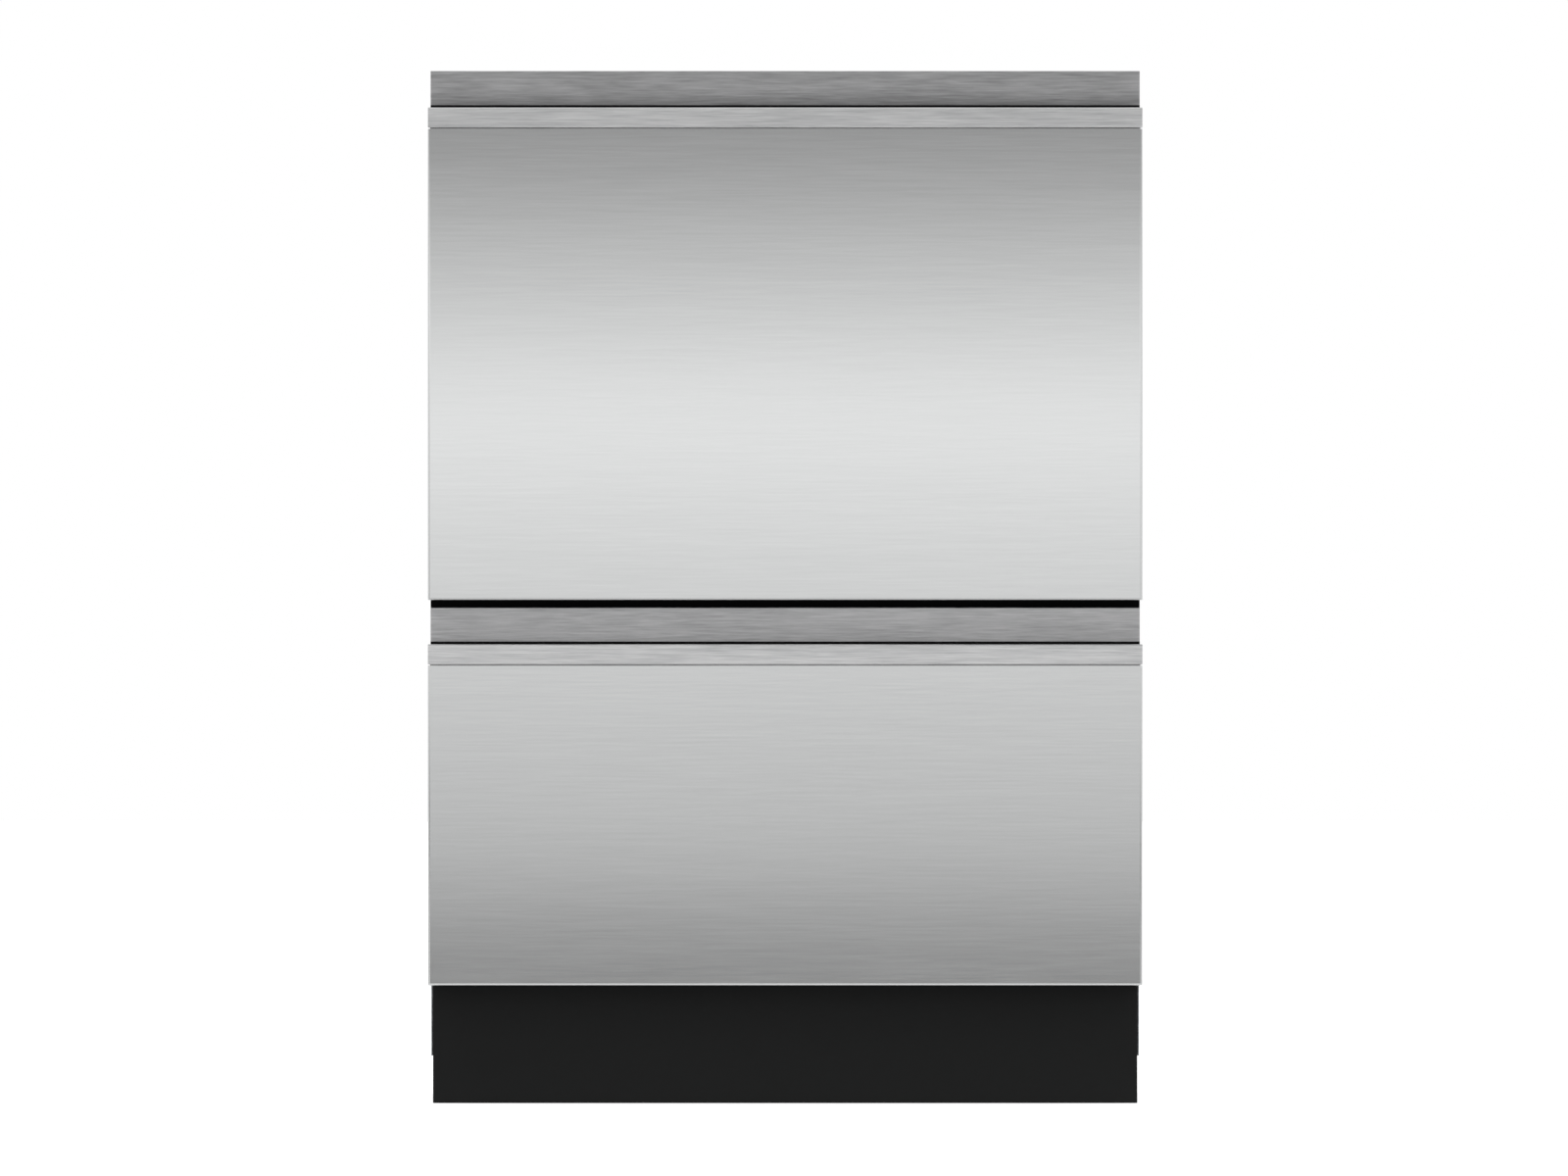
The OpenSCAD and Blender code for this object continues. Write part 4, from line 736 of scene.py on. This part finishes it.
class DISHWASHER_OT_controls(bpy.types.Operator):
    """Front housings, black caps, push buttons with their marks, and display windows"""
    bl_idname = "dishwasher.controls"
    bl_label = "Controls"

    MARK_HEIGHT = 0.12 * MM

    def execute(self, context):
        edge = context.scene.dishwasher_finish.plastic_edge
        for drawer in DRAWERS:
            finish_node(drawer + "_front_housing", ["housing"], edge)
            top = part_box(drawer + "_control_fascia")[1].z

            def is_board(p):
                return top - 12.7 * MM < p.z < top - 10.9 * MM

            finish_node(drawer + "_control_fascia", ["fascia", "board"], edge, [(1, is_board)])
            marks = {"power": self.power_mark(), "program": self.program_mark(), "start": self.start_mark()}
            for name, mark in marks.items():
                node = f"{drawer}_{name}_button"
                finish_node(node, ["button"], 0.35 * MM)
                button_low, button_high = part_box(node)
                middle = (button_low + button_high) / 2
                mark.transform(Matrix.Translation((middle.x, middle.y, button_high.z)))
                seat(node + "_mark", mark, ["print"], frame["nodes"][node]["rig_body"])
            window = plate([self.pill(35 * MM, 7 * MM, 3 * MM)], 0, 0.55 * MM, 0.12 * MM)
            window.transform(Matrix.Translation((60 * MM, FRONT_Y + 50 * MM, top - 0.6 * MM)))
            smooth(window)
            seat(drawer + "_display_window", window, ["window"], drawer + "_drawer")
        return {"FINISHED"}

    def pill(self, half_w, half_h, r):
        """Outline of a rounded rectangle."""
        points = []
        for quarter, (sx, sy) in enumerate(((1, 1), (-1, 1), (-1, -1), (1, -1))):
            points += ring(r, 7, quarter * math.pi / 2, math.pi / 2, (sx * (half_w - r), sy * (half_h - r)))
        return points

    def power_mark(self):
        """A broken ring with an upright bar, the plain sign for on and off."""
        start, sweep = math.radians(120), math.radians(300)
        outer, inner = ring(3.0 * MM, 28, start, sweep), ring(2.5 * MM, 28, start, sweep)
        bar = [(-0.25 * MM, 1.2 * MM), (0.25 * MM, 1.2 * MM), (0.25 * MM, 3.6 * MM), (-0.25 * MM, 3.6 * MM)]
        return joined([plate([shape], 0, self.MARK_HEIGHT) for shape in (outer + inner[::-1], bar)])

    def program_mark(self):
        """Three short bars."""
        bars = [[(-3 * MM, y * MM), (3 * MM, y * MM), (3 * MM, (y + 0.5) * MM), (-3 * MM, (y + 0.5) * MM)]
                for y in (-2.2, -0.25, 1.7)]
        return joined([plate([bar], 0, self.MARK_HEIGHT) for bar in bars])

    def start_mark(self):
        """A triangle, the plain sign for start."""
        return plate([[(-2 * MM, -2.6 * MM), (2.8 * MM, 0), (-2 * MM, 2.6 * MM)]], 0, self.MARK_HEIGHT)


class DISHWASHER_OT_tubs(bpy.types.Operator):
    """Wash tubs, filters, spray arms, pumps and dispensers"""
    bl_idname = "dishwasher.tubs"
    bl_label = "Tubs and wash parts"

    def execute(self, context):
        edge = context.scene.dishwasher_finish.plastic_edge
        for drawer in DRAWERS:
            finish_node(drawer + "_tub", ["tub"])
            finish_node(drawer + "_filter", ["wash"], 0.25 * MM)
            finish_node(drawer + "_spray_arm", ["wash"], 0.6 * MM)
            self.pump(drawer)
            self.dispenser(drawer, edge)
            finish_node(drawer + "_dispenser_door", ["door"], 0.4 * MM)
        return {"FINISHED"}

    def pump(self, drawer):
        """A black pump with a plated heater ring and a phosphated motor, all about the tub's middle."""
        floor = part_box(drawer + "_filter")[1].z - 1 * MM
        tub_middle = 15.5 * MM

        def is_heater(p):
            return (floor - 12 * MM < p.z < floor - 9.4 * MM
                    and 30.4 * MM < math.hypot(p.x, p.y - tub_middle) < 42 * MM)

        def is_motor(p):
            return p.z < floor - 21.5 * MM and math.hypot(p.x, p.y - tub_middle) < 85 * MM

        finish_node(drawer + "_pump_unit", ["black", "runner", "motor"], 0.4 * MM,
                    [(1, is_heater), (2, is_motor)])

    def dispenser(self, drawer, edge):
        """A dispenser whose rinse aid cap is of the door's colour."""
        low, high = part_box(drawer + "_dispenser")
        cap_x, cap_z = 52 * MM, (low.z + high.z) / 2

        def is_cap(p):
            return math.hypot(p.x - cap_x, p.z - cap_z) < 19.4 * MM and p.y > FRONT_Y + 87.8 * MM

        finish_node(drawer + "_dispenser", ["wash", "door"], edge, [(1, is_cap)])


class DISHWASHER_OT_baskets(bpy.types.Operator):
    """Wire baskets with their tines, cup racks and cutlery basket"""
    bl_idname = "dishwasher.baskets"
    bl_label = "Baskets"

    def execute(self, context):
        sizes = context.scene.dishwasher_basket
        for drawer in DRAWERS:
            self.basket(drawer, sizes)
            self.folding_row(drawer, sizes)
            finish_node(drawer + "_left_cup_rack", ["wash"], 0.4 * MM)
        finish_node("upper_right_cup_rack", ["wash"], 0.4 * MM)
        finish_node("upper_cutlery_basket", ["wash"], 0.4 * MM)
        return {"FINISHED"}

    def basket(self, drawer, sizes):
        """Bent wires welded to two frames, with two fixed rows of tines and the clips of the folding row."""
        columns, ranks = 12, 10  # meshes across and along
        # the lower frame's middle is 2.6 mm over the underside of the lengthwise wires
        frame_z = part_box(drawer + "_basket")[0].z + 2.6 * MM
        rail_z = frame_z + (80 if drawer == "lower" else 110) * MM
        w, front, back = sizes.half_width, FRONT_Y + sizes.depth_front, FRONT_Y + sizes.depth_back
        mid, deep = (front + back) / 2, (back - front) / 2

        def loop(half_w, half_d, z):
            return [(-half_w, mid - half_d, z), (half_w, mid - half_d, z), (half_w, mid + half_d, z),
                    (-half_w, mid + half_d, z), (-half_w, mid - half_d, z)]

        frames = [loop(w, deep, frame_z), loop(w, deep, rail_z)]
        band = [loop(w + 2.4 * MM, deep + 2.4 * MM, (frame_z + rail_z) / 2)]
        cross_z, long_z = frame_z + 1.7 * MM, frame_z - 1 * MM
        along = [[(x, front, rail_z), (x, front, long_z), (x, back, long_z), (x, back, rail_z)]
                 for x in (-w + i * 2 * w / columns for i in range(1, columns))]
        across = [[(-w, y, rail_z), (-w, y, cross_z), (w, y, cross_z), (w, y, rail_z)]
                  for y in (front + i * 2 * deep / ranks for i in range(1, ranks))]
        length = (70 if drawer == "lower" else 85) * MM
        foot_z = cross_z + 1.5 * MM
        tines = []
        for s in (-1, 1):
            tines += self.tines(mid + s * 3 * 2 * deep / ranks, foot_z, foot_z + length, sizes)
        # a hair thinner than the source's, or their facets touch the cup racks that turn on them
        frame_radius = sizes.frame_wire - 0.05 * MM
        groups = [(frames, frame_radius, sizes.corner), (band, sizes.mesh_wire, sizes.corner),
                  (along + across, sizes.mesh_wire, 5 * MM), (tines, sizes.tine_wire, 0)]
        mesh = wires(groups, "wire")
        piece = seat("woven_" + drawer + "_basket", mesh, ["wire"], drawer + "_drawer")
        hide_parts(drawer + "_basket")
        self.clips(drawer, sizes, mid, cross_z)

    def tines(self, y, foot_z, tip_z, sizes):
        """Paths of a row of thirteen upright tines."""
        return [[(x, y, foot_z), (x, y, tip_z - sizes.tine_wire)]
                for x in (i * sizes.tine_pitch for i in range(-6, 7))]

    def folding_row(self, drawer, sizes):
        """The middle row: tines on a rod that turns in the clips."""
        low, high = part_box(drawer + "_folding_tines")
        axis_z, y = low.z + sizes.tine_wire, (low.y + high.y) / 2
        rod = [[(low.x + sizes.tine_wire, y, axis_z), (high.x - sizes.tine_wire, y, axis_z)]]
        paths = rod + self.tines(y, axis_z, high.z, sizes)
        mesh = wires([(paths, sizes.tine_wire, 0)], "wire", 16)
        piece = seat("folding_row_" + drawer, mesh, ["wire"], drawer + "_folding_tines")
        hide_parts(drawer + "_folding_tines")

    def clips(self, drawer, sizes, y, cross_z):
        """Eyes that the rod turns in, past its outermost tines."""
        axis_z = cross_z + sizes.mesh_wire + 0.3 * MM + sizes.tine_wire
        outer_r, foot = sizes.tine_wire + 2.2 * MM, axis_z - cross_z - 1.5 * MM
        outline = ring(outer_r, 20, 0.0, math.pi) + [(-outer_r, -foot), (outer_r, -foot)]
        hole = ring(sizes.tine_wire + 0.06 * MM, 24)
        upright = Matrix(((0, 0, 1), (1, 0, 0), (0, 1, 0))).to_4x4()
        parts = []
        for s in (-1, 1):
            clip = plate([outline, hole], -4 * MM, 4 * MM, 0.3 * MM)
            clip.transform(Matrix.Translation((s * 6.6 * sizes.tine_pitch, y, axis_z)) @ upright)
            parts.append(clip)
        mesh = joined(parts)
        smooth(mesh)
        seat(drawer + "_tine_clips", mesh, ["wash"], drawer + "_drawer")


class DISHWASHER_OT_runners(bpy.types.Operator):
    """Telescopic runners with their bearing cages"""
    bl_idname = "dishwasher.runners"
    bl_label = "Runners"

    def execute(self, context):
        edge = 0.25 * MM
        finish_node("cabinet_runners", ["runner"], edge)
        for drawer in DRAWERS:
            finish_node(drawer + "_drawer_runners", ["runner"], edge)
            low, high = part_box(drawer + "_middle_runners")
            middle_z = (low.z + high.z) / 2

            def is_cage(p):
                away = abs(p.z - middle_z)
                return away > 19.05 * MM or 14.6 * MM < away < 17.75 * MM

            finish_node(drawer + "_middle_runners", ["runner", "black"], edge, [(1, is_cage)])
        return {"FINISHED"}


class DISHWASHER_OT_lids(bpy.types.Operator):
    """Lids that come down on the tubs, with their seals"""
    bl_idname = "dishwasher.lids"
    bl_label = "Lids"

    def execute(self, context):
        for drawer in DRAWERS:
            finish_node(drawer + "_lid", ["lid"], 0.5 * MM)
            finish_node(drawer + "_lid_seal", ["seal"], 0.4 * MM)
        return {"FINISHED"}


class DISHWASHER_OT_stage(bpy.types.Operator):
    """Floor, world, lamps, light card and camera"""
    bl_idname = "dishwasher.stage"
    bl_label = "Stage"

    def execute(self, context):
        settings = context.scene.dishwasher_stage
        self.camera(context.scene, settings)
        self.world(context.scene)
        self.floor(settings)
        self.card(settings)
        self.lamps(settings)
        context.scene.view_settings.view_transform = "Standard"
        return {"FINISHED"}

    def camera(self, scene, settings):
        """A long lens straight on, as in the photograph."""
        lens = bpy.data.cameras.new("camera")
        lens.sensor_width = 36.0
        lens.lens = lens.sensor_width * settings.camera_distance / settings.view_width
        lens.clip_end = 100.0
        camera = bpy.data.objects.new("camera", lens)
        aside = -0.95 * MM  # the photograph's middle lies this far beside the machine's
        camera.location = (aside, FRONT_Y - settings.camera_distance, settings.view_middle)
        camera.rotation_euler = (math.pi / 2, 0, 0)
        scene.collection.objects.link(camera)
        scene.camera = camera

    def world(self, scene):
        """White to the camera and in glass. In metal, bright at the horizon and overhead, greyer between."""
        world = bpy.data.worlds.new("studio")
        world.use_nodes = True
        scene.world = world
        tree = world.node_tree
        shown = tree.nodes["Background"]
        path = add(tree, "ShaderNodeLightPath").outputs
        way = add(tree, "ShaderNodeTexCoord").outputs["Generated"]
        height = add(tree, "ShaderNodeSeparateXYZ", links={"Vector": way}).outputs["Z"]
        mirrored = add(tree, "ShaderNodeMath", {"operation": "MULTIPLY", 1: 1.2},
                       {0: ramp(tree, height, [(0, 0.8), (0.25, 0.7), (0.5, 0.5), (0.78, 0.9), (1, 1.0)])})
        light = add(tree, "ShaderNodeMix", {"data_type": "FLOAT", 2: 0.62},
                    {0: path["Is Glossy Ray"], 3: mirrored.outputs[0]})
        straight = add(tree, "ShaderNodeMath", {"operation": "MAXIMUM"},
                       {0: path["Is Camera Ray"], 1: path["Is Transmission Ray"]})
        strength = add(tree, "ShaderNodeMix", {"data_type": "FLOAT", 3: 1.0},
                       {0: straight.outputs[0], 2: light.outputs[0]})
        tree.links.new(strength.outputs[0], shown.inputs["Strength"])
        shown.inputs["Color"].default_value = (1, 1, 1, 1)

    def floor(self, settings):
        """A plain pale floor that is white to the camera and keeps a soft shadow."""
        mesh = bpy.data.meshes.new("floor")
        reach = 30.0
        corners = [(x * reach, y * reach, 0) for x, y in ((-1, -1), (1, -1), (1, 1), (-1, 1))]
        mesh.from_pydata(corners, [], [(0, 1, 2, 3)])
        floor = bpy.data.objects.new("floor", mesh)
        bpy.context.scene.collection.objects.link(floor)
        material, tree, shader = new_material("floor_painted_white", Roughness=0.9)[:3]
        shader.inputs["Base Color"].default_value = (*settings.floor_color, 1)
        path = add(tree, "ShaderNodeLightPath").outputs
        lit = add(tree, "ShaderNodeEmission", {"Strength": 0.74})
        seen = add(tree, "ShaderNodeMath", {"operation": "MAXIMUM"},
                   {0: path["Is Camera Ray"], 1: path["Is Glossy Ray"]})
        nothing = add(tree, "ShaderNodeEmission", {"Strength": 0.0})
        glow = add(tree, "ShaderNodeMixShader",
                   links={0: seen.outputs[0], 1: nothing.outputs[0], 2: lit.outputs[0]})
        both = add(tree, "ShaderNodeAddShader", links={0: shader.outputs[0], 1: glow.outputs[0]})
        tree.links.new(both.outputs[0], tree.nodes["Material Output"].inputs["Surface"])
        mesh.materials.append(material)

    def card(self, settings):
        """The soft light that the fronts reflect: brightest at two thirds of their height, and falling off
        towards the floor and the top. Only reflections see it."""
        y, near = FRONT_Y - settings.card_distance, FRONT_Y - 20 * MM
        half, foot, top = 2.2, 2 * MM, 1.2
        mesh = bpy.data.meshes.new("card")
        mesh.from_pydata([(-half, y, foot), (half, y, foot), (half, y, top), (-half, y, top),
                          (-half, near, foot), (half, near, foot)], [], [(0, 1, 2, 3), (0, 4, 5, 1)])
        card = bpy.data.objects.new("light_card", mesh)
        bpy.context.scene.collection.objects.link(card)
        material = bpy.data.materials.new("light_card_silk")
        material.use_nodes = True
        tree = material.node_tree
        tree.nodes.remove(tree.nodes["Principled BSDF"])
        place = add(tree, "ShaderNodeTexCoord").outputs["Object"]
        height = add(tree, "ShaderNodeSeparateXYZ", links={"Vector": place}).outputs["Z"]
        # (height in metres, grey): the first two are the part that lies on the floor
        greys = ramp(tree, height, [(0.0, 0.55), (0.004, 0.55), (0.006, 0.09), (0.1, 0.172), (0.22, 0.44),
                                    (0.4, 0.52), (0.5, 0.605), (0.58, 0.743), (0.7, 0.473), (0.82, 0.238),
                                    (0.92, 0.19)])
        glow = add(tree, "ShaderNodeEmission", {"Strength": 2.0}, {"Color": greys})
        tree.links.new(glow.outputs[0], tree.nodes["Material Output"].inputs["Surface"])
        mesh.materials.append(material)
        for ray in ("camera", "diffuse", "transmission", "volume_scatter", "shadow"):
            setattr(card, "visible_" + ray, False)

    def lamps(self, settings):
        """Three broad soft lamps, which metal doesn't mirror."""
        target = Vector((0, 0, 0.45))
        lamps = (("main_lamp", (-2.2, -3.0, 3.2), 1.0), ("fill_lamp", (2.8, -1.6, 2.0), 0.5),
                 ("back_lamp", (0.8, 3.2, 2.4), 0.7))
        for name, place, share in lamps:
            light = bpy.data.lights.new(name, "AREA")
            light.shape, light.size, light.energy = "DISK", 2.4, settings.lamp_power * share
            lamp = bpy.data.objects.new(name, light)
            lamp.location = place
            lamp.rotation_euler = (target - Vector(place)).to_track_quat("-Z", "Y").to_euler()
            lamp.visible_glossy = False
            bpy.context.scene.collection.objects.link(lamp)


class DISHWASHER_PT_pieces(bpy.types.Panel):
    """Lists the pieces and their settings"""
    bl_idname = "DISHWASHER_PT_pieces"
    bl_label = "Drawer dishwasher"
    bl_space_type = "VIEW_3D"
    bl_region_type = "UI"
    bl_category = "Dishwasher"

    def draw(self, context):
        for settings in (context.scene.dishwasher_stage, context.scene.dishwasher_finish,
                         context.scene.dishwasher_basket):
            column = self.layout.box().column()
            for name in settings.__annotations__:
                column.prop(settings, name)
        for operator in OPERATORS:
            self.layout.operator(operator.bl_idname)


OPERATORS = (
    DISHWASHER_OT_stage,
    DISHWASHER_OT_fronts,
    DISHWASHER_OT_kick_and_frame,
    DISHWASHER_OT_cabinet,
    DISHWASHER_OT_feet,
    DISHWASHER_OT_services,
    DISHWASHER_OT_controls,
    DISHWASHER_OT_tubs,
    DISHWASHER_OT_baskets,
    DISHWASHER_OT_runners,
    DISHWASHER_OT_lids,
)
SETTINGS = {
    "dishwasher_stage": StageSettings,
    "dishwasher_finish": FinishSettings,
    "dishwasher_basket": BasketSettings,
}


def register():
    """Registers the settings, the operators and the panel."""
    for settings in SETTINGS.values():
        bpy.utils.register_class(settings)
    for name, settings in SETTINGS.items():
        setattr(bpy.types.Scene, name, bpy.props.PointerProperty(type=settings))
    for operator in OPERATORS:
        bpy.utils.register_class(operator)
    bpy.utils.register_class(DISHWASHER_PT_pieces)


def unregister():
    """Takes back what register() does."""
    bpy.utils.unregister_class(DISHWASHER_PT_pieces)
    for operator in reversed(OPERATORS):
        bpy.utils.unregister_class(operator)
    for name, settings in SETTINGS.items():
        delattr(bpy.types.Scene, name)
        bpy.utils.unregister_class(settings)


def main():
    """Makes every piece."""
    register()
    make_materials(bpy.context.scene.dishwasher_finish)
    for operator in OPERATORS:
        group, name = operator.bl_idname.split(".")
        getattr(getattr(bpy.ops, group), name)()


if __name__ == "__main__":
    main()
